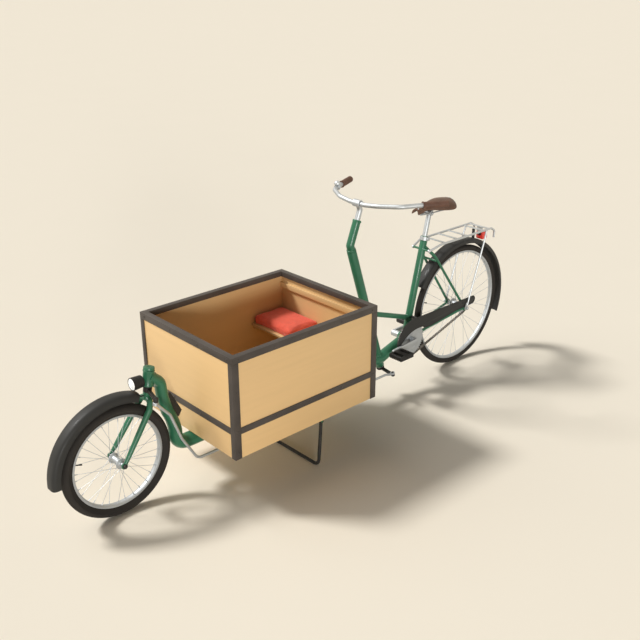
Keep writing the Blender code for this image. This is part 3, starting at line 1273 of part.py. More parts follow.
def lamps():
    """The headlamp on the head tube and the tail lamp under the rack."""
    lean = LAMP_NECK_RADIUS * abs(tan(HEAD_TILT))
    base = head(LAMP_HEIGHT) + Vector((HEAD_TUBE_RADIUS / cos(HEAD_TILT) + lean + GAP, 0, 0))
    forward = Vector((1, 0, 0))
    profile = [(0, 0), (LAMP_NECK_RADIUS, 0), (LAMP_NECK_RADIUS, 0.004), (LAMP_RADIUS * 0.72, 0.008),
               (LAMP_RADIUS * 0.93, 0.020), (LAMP_RADIUS, LAMP_LENGTH - 0.006), (LAMP_RADIUS, LAMP_LENGTH),
               (LAMP_RADIUS - 0.002, LAMP_LENGTH), (LAMP_RADIUS - 0.003, LAMP_LENGTH - 0.005),
               (0, LAMP_LENGTH - 0.005)]
    body = turned("headlamp_body", profile, base, forward, 18, closed=False)
    finish(body, "headlamp_body", BLACK_PLASTIC)
    glass = LAMP_RADIUS - 0.003 - GAP
    lens = [(0, LAMP_LENGTH - 0.005 + GAP), (glass, LAMP_LENGTH - 0.005 + GAP), (glass, LAMP_LENGTH - 0.001),
            (glass * 0.75, LAMP_LENGTH + 0.001), (0, LAMP_LENGTH + 0.002)]
    finish(turned("headlamp_lens", lens, base, forward, 18, closed=False), "headlamp_lens", WHITE_LENS)
    x = rack_bar_places()[-1]
    tail = box("tail_lamp", (x - 0.062, -0.033, TAIL_LAMP_TOP - 0.050), (x - 0.004, 0.033, TAIL_LAMP_TOP))
    finish(eased(tail, 0.008), "tail_lamp", RED_LENS)


def chain_guard():
    """The sheet guard outside the chain, with its two standoffs."""
    tip = radians(-2)
    outline = arc(BB, GUARD_RADIUS, tip, radians(90), 14)
    top = BB.z + GUARD_RADIUS
    rear_end = Vector((GUARD_REAR, 0, top - 0.022))
    outline += arc(rear_end, 0.022, radians(90), radians(270), 8)
    outline += [(0.084, 0.355), (0.293, 0.326), (0.345, 0.330)]
    inner = BB + Vector((-0.0355, 0, -0.121))
    outline += arc(inner, GUARD_INNER_RADIUS, radians(100), radians(38.7), 9)
    sheet = flat("chain_guard", [outline], GUARD_Y, GUARD_Y + GUARD_SHEET)
    height = top - 0.0075
    front = seat_tube_point(height)
    arm = cylinder("arm", front + SIDE * (SEAT_TUBE_RADIUS + GAP), front + SIDE * (GUARD_Y + 0.001),
                   0.0045, 10)
    stay = seat_stay_corners()
    share = (0.385 - stay[2].z) / (stay[1].z - stay[2].z)
    rest = stay[2].lerp(stay[1], share)
    pad = cylinder("pad", (rest.x, rest.y + STAY_RADIUS - 0.0012, rest.z),
                   (rest.x, GUARD_Y + 0.001, rest.z), 0.005, 10)
    finish(fused(sheet, arm, pad), "chain_guard", FENDER_PAINT)


def capsule(a, b, radius_a, radius_b, steps=7):
    """Outline (x, z) round two circles."""
    heading = atan2(b.z - a.z, b.x - a.x)
    spread = asin((radius_b - radius_a) / hypot(b.x - a.x, b.z - a.z))
    left = heading + pi / 2 + spread
    right = heading - pi / 2 - spread
    return arc(a, radius_a, left, right + 2 * pi, steps) + arc(b, radius_b, right, left, steps)


def cranks():
    """Spindle, two opposite cranks and their pedals."""
    forward = Vector((cos(CRANK_TILT), 0, sin(CRANK_TILT)))
    outer_y = CRANK_INNER_Y + CRANK_THICKNESS
    for name, side in (("left", 1), ("right", -1)):
        eye = BB + forward * CRANK_LENGTH * side
        outline = capsule(BB, eye, CRANK_BOSS_RADIUS - 0.002, CRANK_EYE_RADIUS)
        ends = (side * CRANK_INNER_Y, side * outer_y)
        arm = eased(flat("arm", [outline], min(ends), max(ends)), 0.002, 1)
        inner_y = CHAIN_Y - TOOTH_THICKNESS / 2 if side > 0 else BB_SHELL_HALF + 0.001
        members = [cylinder("boss", BB + SIDE * side * inner_y, BB + SIDE * side * (outer_y - 0.001),
                            CRANK_BOSS_RADIUS, 20)]
        pedal_inner = outer_y + PEDAL_GAP
        pedal_outer = pedal_inner + PEDAL_WIDTH
        members.append(cylinder("pedal_axle", eye + SIDE * side * (outer_y - 0.006),
                                eye + SIDE * side * (pedal_outer - 0.004), PEDAL_AXLE_RADIUS, 14))
        if side < 0:
            members.append(cylinder("spindle", BB - SIDE * 0.05, BB + SIDE * (outer_y - 0.002),
                                    SPINDLE_RADIUS, 18))
            crank = fused(arm, *members)
        else:
            bore = cylinder("bore", BB, BB + SIDE * (outer_y - 0.0017), SPINDLE_RADIUS + BORE_FIT, 18)
            crank = cut(fused(arm, *members), bore)
        finish(crank, f"crank_{name}", SILVER, BB)
        pedal(f"pedal_{name}", eye, side, pedal_inner, pedal_outer)


def pedal(name, eye, side, inner_y, outer_y):
    """A block pedal: a ribbed cage round a barrel."""
    ends = (side * inner_y, side * outer_y)
    half = PEDAL_LENGTH / 2
    body = box(name, (eye.x - half, min(ends), eye.z - PEDAL_HEIGHT / 2),
               (eye.x + half, max(ends), eye.z + PEDAL_HEIGHT / 2))
    body = eased(body, 0.005)
    cutters = []
    for sign in (1, -1):
        near = eye.x + sign * 0.014
        far = eye.x + sign * (half - 0.011)
        window_y = (min(ends) + 0.011, max(ends) - 0.011)
        cutters.append(box("window", (min(near, far), window_y[0], eye.z - 0.03),
                           (max(near, far), window_y[1], eye.z + 0.03)))
    deep = Vector((eye.x, side * (outer_y - 0.003), eye.z))
    mouth = Vector((eye.x, side * (inner_y - 0.02), eye.z))
    cutters.append(cylinder("bore", mouth, deep, PEDAL_AXLE_RADIUS + BORE_FIT, 14))
    finish(cut(body, *cutters), name, BLACK_PLASTIC, eye)


def kickstand():
    """The U-shaped stand, hung from the frame's pins just past its balance point."""
    pivot = Vector((STAND_PIVOT_X, STAND_LEG_Y, STAND_PIVOT_Z))
    foot = Vector((STAND_FOOT_X, STAND_LEG_Y, STAND_RADIUS))
    down = (foot - pivot).normalized()
    corners = [pivot + down * 0.007, foot, *mirrored([foot, pivot + down * 0.007])]
    stand = tube("kickstand", rounded(corners, 0.035, 4), STAND_RADIUS, 2)
    eyes = []
    bores = []
    for side in (1, -1):
        centre = Vector((pivot.x, side * pivot.y, pivot.z))
        eyes.append(cylinder("eye", centre - SIDE * 0.0065, centre + SIDE * 0.0065, STAND_EYE_RADIUS, 14))
        bores.append(cylinder("bore", centre - SIDE * 0.02, centre + SIDE * 0.02,
                              STAND_PIN_RADIUS + BORE_FIT, 12))
    stand = cut(fused(stand, *eyes), *bores)
    finish(stand, "kickstand", BLACK_STEEL, (STAND_PIVOT_X, 0, STAND_PIVOT_Z))


def build():
    """Make every piece of the bike."""
    frame_tubes()
    down_tube_gusset()
    bearing_rings()
    wheels()
    chain_wheels()
    chain()
    cranks()
    chain_guard()
    fork()
    fork_arm()
    rear_arm()
    steering_rod()
    stem(steering_column())
    handlebar()
    front_fender()
    rear_fender()
    box_shell()
    box_steel()
    seat_cushion()
    seat_post(saddle())
    rear_rack()
    lamps()
    kickstand()


build()
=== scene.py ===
"""Looks of a two-wheeled cargo bike that carries a wooden box between its wheels.

Lengths are metres. Places are given from the rear axle, X forward, Y to the rider's left and Z up from the
floor, and at() moves them into the shared frame, whose origin lies under the middle of the bike.
"""

import logging
from dataclasses import dataclass
from enum import Enum
from math import asin, atan2, cos, pi, radians, sin, tan
from typing import Callable, Optional, Sequence

import bmesh
import bpy
from mathutils import Matrix, Quaternion, Vector
from mathutils.bvhtree import BVHTree


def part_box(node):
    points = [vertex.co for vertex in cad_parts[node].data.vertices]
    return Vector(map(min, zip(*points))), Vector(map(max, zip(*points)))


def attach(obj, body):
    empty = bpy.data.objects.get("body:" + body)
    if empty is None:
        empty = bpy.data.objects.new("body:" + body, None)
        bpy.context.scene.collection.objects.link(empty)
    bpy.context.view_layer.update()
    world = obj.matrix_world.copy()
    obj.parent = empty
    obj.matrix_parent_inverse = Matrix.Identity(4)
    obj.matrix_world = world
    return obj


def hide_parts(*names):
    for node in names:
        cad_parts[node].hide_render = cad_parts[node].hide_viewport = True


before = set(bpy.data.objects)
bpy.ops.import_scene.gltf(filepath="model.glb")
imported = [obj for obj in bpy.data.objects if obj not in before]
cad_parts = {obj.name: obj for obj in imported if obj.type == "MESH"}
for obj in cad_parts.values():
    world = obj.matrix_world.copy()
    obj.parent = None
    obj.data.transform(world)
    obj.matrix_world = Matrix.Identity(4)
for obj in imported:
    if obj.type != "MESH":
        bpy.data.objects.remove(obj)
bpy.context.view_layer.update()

log = logging.getLogger("cargo_bike")

MIDDLE_X = 1.0515
REAR_RADIUS = 0.348
FRONT_RADIUS = 0.253
WHEELBASE = 2.188
HAIR = 0.0003
STEERER_BORE = 0.0129
HEAD_TOP = 0.611
SEAT_POST_TOP = 0.938
SEAT_POST_FOOT = 0.560
RACK_HEIGHT = 0.775
RACK_LUG_HEIGHT = 0.752
RACK_FOOT_Y = 0.0705
RACK_STRAP_X = -0.114
TAIL_SLAT_X = -0.165
TAIL_LAMP_TOP = 0.745
BOX_FOOT = 0.252
STAND_X = 1.325
STAND_Z = 0.235
BRIDGE_RADIUS = 0.404
GUARD_RADIUS = 0.126
GUARD_REST_HEIGHT = 0.385
SIDE = Vector((0, 1, 0))
UP = Vector((0, 0, 1))
FORWARD = Vector((1, 0, 0))


class Hand(Enum):
    """The rider's left or right."""

    LEFT = 1
    RIGHT = -1


class Grain(Enum):
    """The way the wood's grain runs, as the pattern's stretch along X, Y and Z."""

    ALONG = (0.5, 9.0, 9.0)
    ACROSS = (9.0, 0.5, 9.0)


def at(x: float, y: float, z: float) -> Vector:
    """A place measured from the rear axle, in the shared frame."""
    return Vector((x - MIDDLE_X, y, z))


REAR_AXLE = at(0, 0, REAR_RADIUS)
FRONT_AXLE = at(WHEELBASE, 0, FRONT_RADIUS)


# Workshop: what a pair of hands does with Blender's tools

def toward(angle: float) -> Vector:
    """The direction at an angle in the bike's upright plane, from forward and up."""
    return Vector((cos(angle), 0, sin(angle)))


def deselect() -> None:
    """Leave edit mode and drop every selection."""
    if bpy.context.object and bpy.context.object.mode != "OBJECT":
        bpy.ops.object.mode_set(mode="OBJECT")
    bpy.ops.object.select_all(action="DESELECT")


def pick(piece: bpy.types.Object) -> None:
    """Select one piece alone and make it the active one.

    Args:
        piece: The piece.
    """
    deselect()
    piece.select_set(True)
    bpy.context.view_layer.objects.active = piece


def open_new() -> bpy.types.Object:
    """Put a new primitive's place into its mesh and open it, all selected.

    Returns:
        The primitive's object.
    """
    piece = bpy.context.object
    bpy.ops.object.transform_apply(location=True, rotation=True, scale=True)
    bpy.ops.object.mode_set(mode="EDIT")
    bpy.ops.mesh.select_mode(type="FACE")
    bpy.ops.mesh.select_all(action="SELECT")
    return piece


def close_up(piece: bpy.types.Object, name: str) -> bpy.types.Object:
    """Merge doubles, point the faces out and leave edit mode.

    Args:
        piece: The object that is open in edit mode.
        name: Its name from now on.

    Returns:
        The same object.
    """
    bpy.ops.mesh.select_all(action="SELECT")
    bpy.ops.mesh.remove_doubles(threshold=0.00001)
    bpy.ops.mesh.normals_make_consistent(inside=False)
    bpy.ops.object.mode_set(mode="OBJECT")
    piece.name = name
    piece.data.name = name
    return piece


def choose(piece: bpy.types.Object, kind: str, wanted: Callable[[object], bool]) -> None:
    """Select those parts of the open mesh that a rule wants, and no others.

    Args:
        piece: The object that is open in edit mode.
        kind: Its verts, edges or faces.
        wanted: The rule.
    """
    edit = bmesh.from_edit_mesh(piece.data)
    for element in getattr(edit, kind):
        element.select_set(wanted(element))
    bmesh.update_edit_mesh(piece.data)


def skin_of(piece: bpy.types.Object) -> BVHTree:
    """A piece's surface, to cast rays at."""
    mesh = piece.data
    return BVHTree.FromPolygons([v.co for v in mesh.vertices], [list(p.vertices) for p in mesh.polygons])


def turn_selection(turn: Quaternion, centre: Vector) -> None:
    """Turn what is selected about a centre, one axis after another.

    Args:
        turn: The turn.
        centre: The place that stays.
    """
    for axis, angle in zip("XYZ", turn.to_euler("XYZ")):
        if abs(angle) > 1e-6:
            bpy.ops.transform.rotate(value=-angle, orient_axis=axis, orient_type="GLOBAL",
                                     center_override=centre)


def soften_edges(width: float, segments: int = 2, sharper_than: float = 30.0) -> None:
    """Bevel the sharp edges of the open mesh.

    Args:
        width: Width of the bevel.
        segments: Its steps.
        sharper_than: Angle in degrees from which an edge counts as sharp.
    """
    bpy.ops.mesh.select_mode(type="EDGE")
    bpy.ops.mesh.select_all(action="DESELECT")
    bpy.ops.mesh.edges_select_sharp(sharpness=radians(sharper_than))
    bpy.ops.mesh.bevel(offset=width, segments=segments, affect="EDGES", clamp_overlap=True)


def drawn_line(points: Sequence[Vector], closed: bool) -> bpy.types.Object:
    """Draw a line of edges by extruding one vertex from point to point, and leave it open, all selected.

    Args:
        points: The line's points.
        closed: Whether the last point is joined to the first.

    Returns:
        The object, in edit mode.
    """
    deselect()
    bpy.ops.mesh.primitive_plane_add(size=0.001, location=points[0])
    line = open_new()
    bpy.ops.mesh.merge(type="CENTER")
    bpy.ops.mesh.select_mode(type="VERT")
    bpy.ops.mesh.select_all(action="SELECT")
    for here, there in zip(points, points[1:]):
        bpy.ops.mesh.extrude_vertices_move(TRANSFORM_OT_translate={"value": there - here})
    if closed:
        bpy.ops.mesh.select_all(action="DESELECT")
        edit = bmesh.from_edit_mesh(line.data)
        edit.verts.ensure_lookup_table()
        edit.verts[0].select_set(True)
        edit.verts[-1].select_set(True)
        bmesh.update_edit_mesh(line.data)
        bpy.ops.mesh.edge_face_add()
    bpy.ops.mesh.select_all(action="SELECT")
    return line


def lathe(name: str, profile: Sequence[tuple[float, float]], origin: Vector, axis: Vector, steps: int = 40,
          sweep_angle: float = 2 * pi, radial: Optional[Vector] = None,
          closed: bool = False) -> bpy.types.Object:
    """Spin a drawn profile round an axis.

    Args:
        name: The piece's name.
        profile: Points of (radius, height along the axis).
        origin: Where the axis starts.
        axis: Direction of the axis.
        steps: Steps of the spin.
        sweep_angle: How far it is spun.
        radial: Direction in which the profile is drawn.
        closed: Whether the profile is a closed section.

    Returns:
        The piece.
    """
    axis = Vector(axis).normalized()
    out = radial if radial is not None else axis.orthogonal().normalized()
    piece = drawn_line([origin + out * r + axis * h for r, h in profile], closed)
    bpy.ops.mesh.spin(steps=steps, angle=sweep_angle, center=origin, axis=axis)
    return close_up(piece, name)


def collar(name: str, centre: Vector, axis: Vector, bore: float, radius: float, half: float, ease: float,
           steps: int = 36) -> bpy.types.Object:
    """A ring with a bore and eased rims.

    Args:
        name: The piece's name.
        centre: Its middle.
        axis: Direction of its bore.
        bore: Radius of the bore.
        radius: Its outer radius.
        half: Half its height.
        ease: Width of the eased rims.
        steps: Steps round it.

    Returns:
        The ring.
    """
    profile = [(bore, -half), (radius - ease, -half), (radius, ease - half), (radius, half - ease),
               (radius - ease, half), (bore, half)]
    return lathe(name, profile, centre, axis, steps, closed=True)


def plate(name: str, corners: Sequence[Vector], depth: Vector, bevel: float = 0.0005,
          segments: int = 2) -> bpy.types.Object:
    """Fill a drawn outline, extrude it and soften its edges.

    Args:
        name: The piece's name.
        corners: The outline.
        depth: The extrusion.
        bevel: Width of the softened edges.
        segments: Steps of the bevel.

    Returns:
        The piece.
    """
    piece = drawn_line(corners, True)
    bpy.ops.mesh.edge_face_add()
    bpy.ops.mesh.extrude_region_move(TRANSFORM_OT_translate={"value": depth})
    bpy.ops.mesh.select_all(action="SELECT")
    bpy.ops.mesh.normals_make_consistent(inside=False)
    if bevel:
        soften_edges(bevel, segments)
    return close_up(piece, name)


def sweep(name: str, path: Sequence[Vector], radii: Sequence[float], sides: int = 20,
          closed: bool = False) -> bpy.types.Object:
    """Lead a round section along a path by extruding, turning and scaling it.

    Args:
        name: The piece's name.
        path: Points of the centre line. A closed path ends where it starts.
        radii: The section's radius at each point.
        sides: Sides of the section.
        closed: Whether the ends are one and the same.

    Returns:
        The piece.
    """
    headings = []
    for i, point in enumerate(path):
        back = point - path[i - 1] if i else path[1] - point
        ahead = path[i + 1] - point if i + 1 < len(path) else back
        headings.append((back.normalized() + ahead.normalized()).normalized())
    if closed:
        headings[0] = headings[-1] = (headings[0] + headings[-1]).normalized()
    deselect()
    bpy.ops.mesh.primitive_circle_add(vertices=sides, radius=radii[0], fill_type="NGON", location=path[0],
                                      rotation=headings[0].to_track_quat("Z", "Y").to_euler())
    piece = open_new()
    for i in range(1, len(path)):
        bpy.ops.mesh.extrude_region_move(TRANSFORM_OT_translate={"value": path[i] - path[i - 1]})
        turn_selection(headings[i - 1].rotation_difference(headings[i]), path[i])
        scale = radii[i] / radii[i - 1]
        if abs(scale - 1) > 1e-5:
            bpy.ops.transform.resize(value=(scale, scale, scale), center_override=path[i])
    if closed:
        choose(piece, "faces", lambda face: len(face.verts) == sides)
        bpy.ops.mesh.delete(type="FACE")
    return close_up(piece, name)


def pipe(name: str, path: Sequence[Vector], radius: float, sides: int = 20) -> bpy.types.Object:
    """A sweep of one radius."""
    return sweep(name, path, [radius] * len(path), sides)


def block(name: str, low: Vector, high: Vector, bevel: float = 0.001, segments: int = 2) -> bpy.types.Object:
    """A cube primitive at its size and place, with its edges softened.

    Args:
        name: The piece's name.
        low: One corner.
        high: The opposite corner.
        bevel: Width of the softened edges.
        segments: Steps of the bevel.

    Returns:
        The piece.
    """
    deselect()
    size = Vector(abs(h - l) for l, h in zip(low, high))
    bpy.ops.mesh.primitive_cube_add(size=1, location=(low + high) / 2, scale=size)
    piece = open_new()
    soften_edges(bevel, segments)
    return close_up(piece, name)


def bar(name: str, start: Vector, end: Vector, radius: float, sides: int = 28, bevel: float = 0.0006,
        end_radius: Optional[float] = None) -> bpy.types.Object:
    """A cylinder or cone primitive between two points, with its rims softened.

    Args:
        name: The piece's name.
        start: Middle of one end.
        end: Middle of the other end.
        radius: Radius at the start.
        sides: Sides of the round.
        bevel: Width of the softened rims.
        end_radius: Radius at the end, where it differs.

    Returns:
        The piece.
    """
    deselect()
    along = end - start
    bpy.ops.mesh.primitive_cone_add(vertices=sides, radius1=radius, radius2=end_radius or radius,
                                    depth=along.length, location=(start + end) / 2,
                                    rotation=along.to_track_quat("Z", "Y").to_euler())
    piece = open_new()
    soften_edges(bevel, 2, 25.0)
    return close_up(piece, name)


def copied(piece: bpy.types.Object, place: Matrix) -> bpy.types.Object:
    """Copy a piece, mesh and all, and move the copy's mesh.

    Args:
        piece: What is copied.
        place: The move.

    Returns:
        The copy.
    """
    twin = piece.copy()
    twin.data = piece.data.copy()
    bpy.context.scene.collection.objects.link(twin)
    twin.data.transform(place)
    if place.determinant() < 0:
        twin.data.flip_normals()
    return twin


def other_side(piece: bpy.types.Object) -> bpy.types.Object:
    """The same piece on the bike's other side."""
    return copied(piece, Matrix.Diagonal((1, -1, 1, 1)))


def joined(name: str, pieces: Sequence[bpy.types.Object]) -> bpy.types.Object:
    """Join pieces into one object under a name.

    Args:
        name: Their name from now on.
        pieces: What is joined.

    Returns:
        The one object.
    """
    deselect()
    for piece in pieces:
        piece.select_set(True)
    bpy.context.view_layer.objects.active = pieces[0]
    if len(pieces) > 1:
        bpy.ops.object.join()
    pieces[0].name = name
    pieces[0].data.name = name
    return pieces[0]


def placed(piece: bpy.types.Object, places: Sequence[Matrix]) -> list[bpy.types.Object]:
    """Copies of a model piece at each place; the model itself is used up.

    Args:
        piece: The model piece.
        places: Where the copies go.

    Returns:
        The copies.
    """
    copies = [copied(piece, place) for place in places]
    bpy.data.objects.remove(piece, do_unlink=True)
    return copies


def aimed(origin: Vector, axis: Vector) -> Matrix:
    """A frame at the origin whose Z runs along the axis."""
    return Matrix.Translation(origin) @ axis.to_track_quat("Z", "Y").to_matrix().to_4x4()


def applied(piece: bpy.types.Object, kind: str, **settings: object) -> bpy.types.Object:
    """Add a modifier, set it and apply it.

    Args:
        piece: The piece that is worked on.
        kind: The modifier's type.
        settings: Its values.

    Returns:
        The same piece.
    """
    pick(piece)
    step = piece.modifiers.new(kind.lower(), kind)
    for key, value in settings.items():
        setattr(step, key, value)
    bpy.ops.object.modifier_apply(modifier=step.name)
    return piece


def carved(piece: bpy.types.Object, cutters: Sequence[bpy.types.Object]) -> bpy.types.Object:
    """Take the cutters' shapes out of a piece.

    Args:
        piece: The piece.
        cutters: The shapes, which are used up.

    Returns:
        The same piece.
    """
    for cutter in cutters:
        applied(piece, "BOOLEAN", operation="DIFFERENCE", object=cutter, solver="EXACT")
        bpy.data.objects.remove(cutter, do_unlink=True)
    return piece


def rounded(corners: Sequence[Vector], bend: float, steps: int = 10) -> list[Vector]:
    """A path through corners, each turned on a curve.

    Args:
        corners: The corners.
        bend: Size of the curves.
        steps: Points on each curve.

    Returns:
        The path's points.
    """
    path = [corners[0]]
    for before, corner, after in zip(corners, corners[1:], corners[2:]):
        back = before - corner
        ahead = after - corner
        reach = bend / tan(back.angle(ahead) / 2)
        start = corner + back.normalized() * min(reach, 0.7 * back.length)
        end = corner + ahead.normalized() * min(reach, 0.7 * ahead.length)
        for i in range(steps + 1):
            t = i / steps
            point = (1 - t) ** 2 * start + 2 * t * (1 - t) * corner + t ** 2 * end
            if (point - path[-1]).length > 0.0004:
                path.append(point)
    path.append(corners[-1])
    return path


def mirrored(path: Sequence[Vector]) -> list[Vector]:
    """The same path on the bike's other side."""
    return [Vector((p.x, -p.y, p.z)) for p in path]


def arc(centre: Vector, radius: float, start: float, end: float, steps: int) -> list[Vector]:
    """Points round a centre in the bike's upright plane, from one angle to another."""
    angles = [start + (end - start) * i / steps for i in range(steps + 1)]
    return [centre + toward(a) * radius for a in angles]


# Finishes

Colour = tuple[float, float, float]


def linear(colour: Colour, scale: float = 1.0) -> tuple[float, float, float, float]:
    """A colour of 0 to 255 as Blender's own, lighter or darker by a factor.

    Args:
        colour: Red, green and blue.
        scale: The factor.

    Returns:
        The colour, fully opaque.
    """
    out = []
    for value in colour:
        share = value / 255
        level = share / 12.92 if share <= 0.04045 else ((share + 0.055) / 1.055) ** 2.4
        out.append(min(1.0, level * scale))
    return (*out, 1.0)


class Recipe:
    """A material's node tree, with short ways to add to it."""

    def __init__(self, name: str) -> None:
        """Start a material with a bare Principled shader.

        Args:
            name: The material's name.
        """
        self.material = bpy.data.materials.new(name)
        self.material.use_nodes = True
        self.tree = self.material.node_tree
        self.shader = self.tree.nodes["Principled BSDF"]
        self.place = self.add("ShaderNodeTexCoord").outputs["Object"]

    def add(self, kind: str, **inputs: object) -> bpy.types.Node:
        """Add a node and set or link its inputs.

        Args:
            kind: The node's type.
            inputs: Values or sockets by input name, with _ for a space.

        Returns:
            The node.
        """
        node = self.tree.nodes.new(kind)
        for key, value in inputs.items():
            socket = node.inputs[key.replace("_", " ")]
            if isinstance(value, bpy.types.NodeSocket):
                self.tree.links.new(value, socket)
            else:
                socket.default_value = value
        return node

    def math(self, operation: str, first: object, second: object = 0.0) -> bpy.types.NodeSocket:
        """One step of arithmetic.

        Args:
            operation: The Math node's operation.
            first: A value or socket.
            second: A value or socket.

        Returns:
            The result's socket.
        """
        node = self.tree.nodes.new("ShaderNodeMath")
        node.operation = operation
        for socket, value in zip(node.inputs, (first, second)):
            if isinstance(value, bpy.types.NodeSocket):
                self.tree.links.new(value, socket)
            else:
                socket.default_value = value
        return node.outputs[0]

    def stretched(self, stretch: Sequence[float], shift: Sequence[float] = (0, 0, 0)) -> bpy.types.NodeSocket:
        """The piece's own coordinates, moved and stretched."""
        node = self.add("ShaderNodeMapping", Vector=self.place, Location=shift, Scale=stretch)
        return node.outputs["Vector"]

    def axes(self) -> bpy.types.NodeOutputs:
        """The piece's own coordinates, one socket for each axis."""
        return self.add("ShaderNodeSeparateXYZ", Vector=self.place).outputs

    def noise(self, scale: float, place: Optional[bpy.types.NodeSocket] = None,
              detail: float = 3.0) -> bpy.types.NodeSocket:
        """A cloudy pattern."""
        where = place or self.place
        return self.add("ShaderNodeTexNoise", Vector=where, Scale=scale, Detail=detail).outputs["Fac"]

    def blend(self, share: object, dark: Sequence[float], light: Sequence[float]) -> bpy.types.NodeSocket:
        """A colour between two, by a share.

        Args:
            share: A value or socket, 0 for dark and 1 for light.
            dark: One colour.
            light: The other colour.

        Returns:
            The colour's socket.
        """
        ramp = self.tree.nodes.new("ShaderNodeValToRGB")
        ramp.color_ramp.elements[0].color = dark
        ramp.color_ramp.elements[1].color = light
        ramp.color_ramp.elements[0].position = 0.3
        ramp.color_ramp.elements[1].position = 0.7
        self.tree.links.new(share, ramp.inputs["Fac"])
        return ramp.outputs["Color"]

    def between(self, share: object, low: float, high: float) -> bpy.types.NodeSocket:
        """A number between two, by a share."""
        return self.add("ShaderNodeMapRange", Value=share, To_Min=low, To_Max=high).outputs["Result"]

    def colour(self, socket: bpy.types.NodeSocket) -> None:
        """Give the shader its colour."""
        self.tree.links.new(socket, self.shader.inputs["Base Color"])

    def roughness(self, socket: bpy.types.NodeSocket) -> None:
        """Give the shader its roughness."""
        self.tree.links.new(socket, self.shader.inputs["Roughness"])

    def relief(self, height: bpy.types.NodeSocket, depth: float, strength: float = 1.0,
               below: Optional[bpy.types.NodeSocket] = None) -> bpy.types.NodeSocket:
        """Small relief of the surface.

        Args:
            height: The pattern.
            depth: Its depth in metres.
            strength: How much of it shows.
            below: Relief that it lies on.

        Returns:
            The normal, which the shader now uses.
        """
        bump = self.add("ShaderNodeBump", Height=height, Distance=depth, Strength=strength)
        if below is not None:
            self.tree.links.new(below, bump.inputs["Normal"])
        self.tree.links.new(bump.outputs["Normal"], self.shader.inputs["Normal"])
        return bump.outputs["Normal"]

    def fixed(self, **values: float) -> None:
        """Set values that are the same all over the surface on the shader's own sockets."""
        for key, value in values.items():
            self.shader.inputs[key.replace("_", " ")].default_value = value


@dataclass(frozen=True)
class Finish:
    """A finish of this bike: what it is called, its colour and how rough it is."""

    name: str
    colour: Colour
    rough: float
    gloss: float = 0.5

    def material(self) -> bpy.types.Material:
        """The finish's material, made on first use."""
        known = bpy.data.materials.get(self.name)
        return known if known else self.mixed().material

    def mixed(self) -> Recipe:
        """Mix a plain finish whose colour drifts a little.

        Returns:
            The recipe.
        """
        recipe = Recipe(self.name)
        recipe.colour(recipe.blend(recipe.noise(14.0), linear(self.colour, 0.93), linear(self.colour, 1.06)))
        recipe.roughness(recipe.between(recipe.noise(35.0), self.rough - 0.05, self.rough + 0.07))
        recipe.fixed(Specular_IOR_Level=self.gloss)
        return recipe


@dataclass(frozen=True)
class Paint(Finish):
    """Sprayed paint with a clear coat, a faint skin like orange peel and a little dust on top."""

    coat: float = 0.35

    def mixed(self) -> Recipe:
        """Mix the paint.

        Returns:
            The recipe.
        """
        recipe = super().mixed()
        recipe.fixed(Coat_Weight=self.coat, Coat_Roughness=0.12)
        recipe.relief(recipe.noise(420.0, detail=1.0), 0.00012, 0.35)
        return recipe


@dataclass(frozen=True)
class Powder(Finish):
    """Powder-coated steel: dull, finely grained and rubbed brown in places."""

    rubbed: Colour = (110, 92, 78)

    def mixed(self) -> Recipe:
        """Mix the powder coat.

        Returns:
            The recipe.
        """
        recipe = super().mixed()
        clouds = recipe.noise(9.0, detail=5.0)
        recipe.colour(recipe.blend(clouds, linear(self.colour), linear(self.rubbed)))
        recipe.relief(recipe.noise(900.0, detail=1.0), 0.0001, 0.5)
        return recipe


@dataclass(frozen=True)
class BareMetal(Finish):
    """Polished or brushed metal, with fine marks along one way."""

    marks: tuple[float, float, float] = (1.0, 14.0, 14.0)
    shine: float = 0.9

    def mixed(self) -> Recipe:
        """Mix the metal.

        Returns:
            The recipe.
        """
        recipe = Recipe(self.name)
        lines = recipe.noise(55.0, recipe.stretched(self.marks), 4.0)
        recipe.colour(recipe.blend(recipe.noise(20.0), linear(self.colour, 0.94), linear(self.colour, 1.05)))
        recipe.roughness(recipe.between(lines, self.rough - 0.06, self.rough + 0.10))
        recipe.relief(lines, 0.00004, 0.25)
        recipe.fixed(Metallic=self.shine)
        return recipe


@dataclass(frozen=True)
class TyreRubber(Finish):
    """Tyre rubber: dusty, with slanted cuts across its tread."""

    centre: tuple[float, float] = (0.0, 0.0)
    crown: float = 0.3
    cuts: int = 120

    def mixed(self) -> Recipe:
        """Mix the rubber.

        Returns:
            The recipe.
        """
        recipe = super().mixed()
        spot = recipe.axes()
        across = recipe.math("SUBTRACT", spot["X"], self.centre[0])
        above = recipe.math("SUBTRACT", spot["Z"], self.centre[1])
        turn = recipe.math("ARCTAN2", above, across)
        slant = recipe.math("MULTIPLY", recipe.math("ABSOLUTE", spot["Y"]), 420.0)
        wave = recipe.math("SINE", recipe.math("ADD", recipe.math("MULTIPLY", turn, float(self.cuts)), slant))
        squares = recipe.math("ADD", recipe.math("MULTIPLY", across, across),
                              recipe.math("MULTIPLY", above, above))
        on_tread = recipe.math("GREATER_THAN", recipe.math("SQRT", squares), self.crown - 0.010)
        cut = recipe.math("MULTIPLY", recipe.math("GREATER_THAN", wave, 0.72), on_tread)
        grain = recipe.relief(recipe.noise(700.0, detail=1.0), 0.0001, 0.4)
        recipe.relief(recipe.math("MULTIPLY", cut, -1.0), 0.001, 0.8, grain)
        return recipe


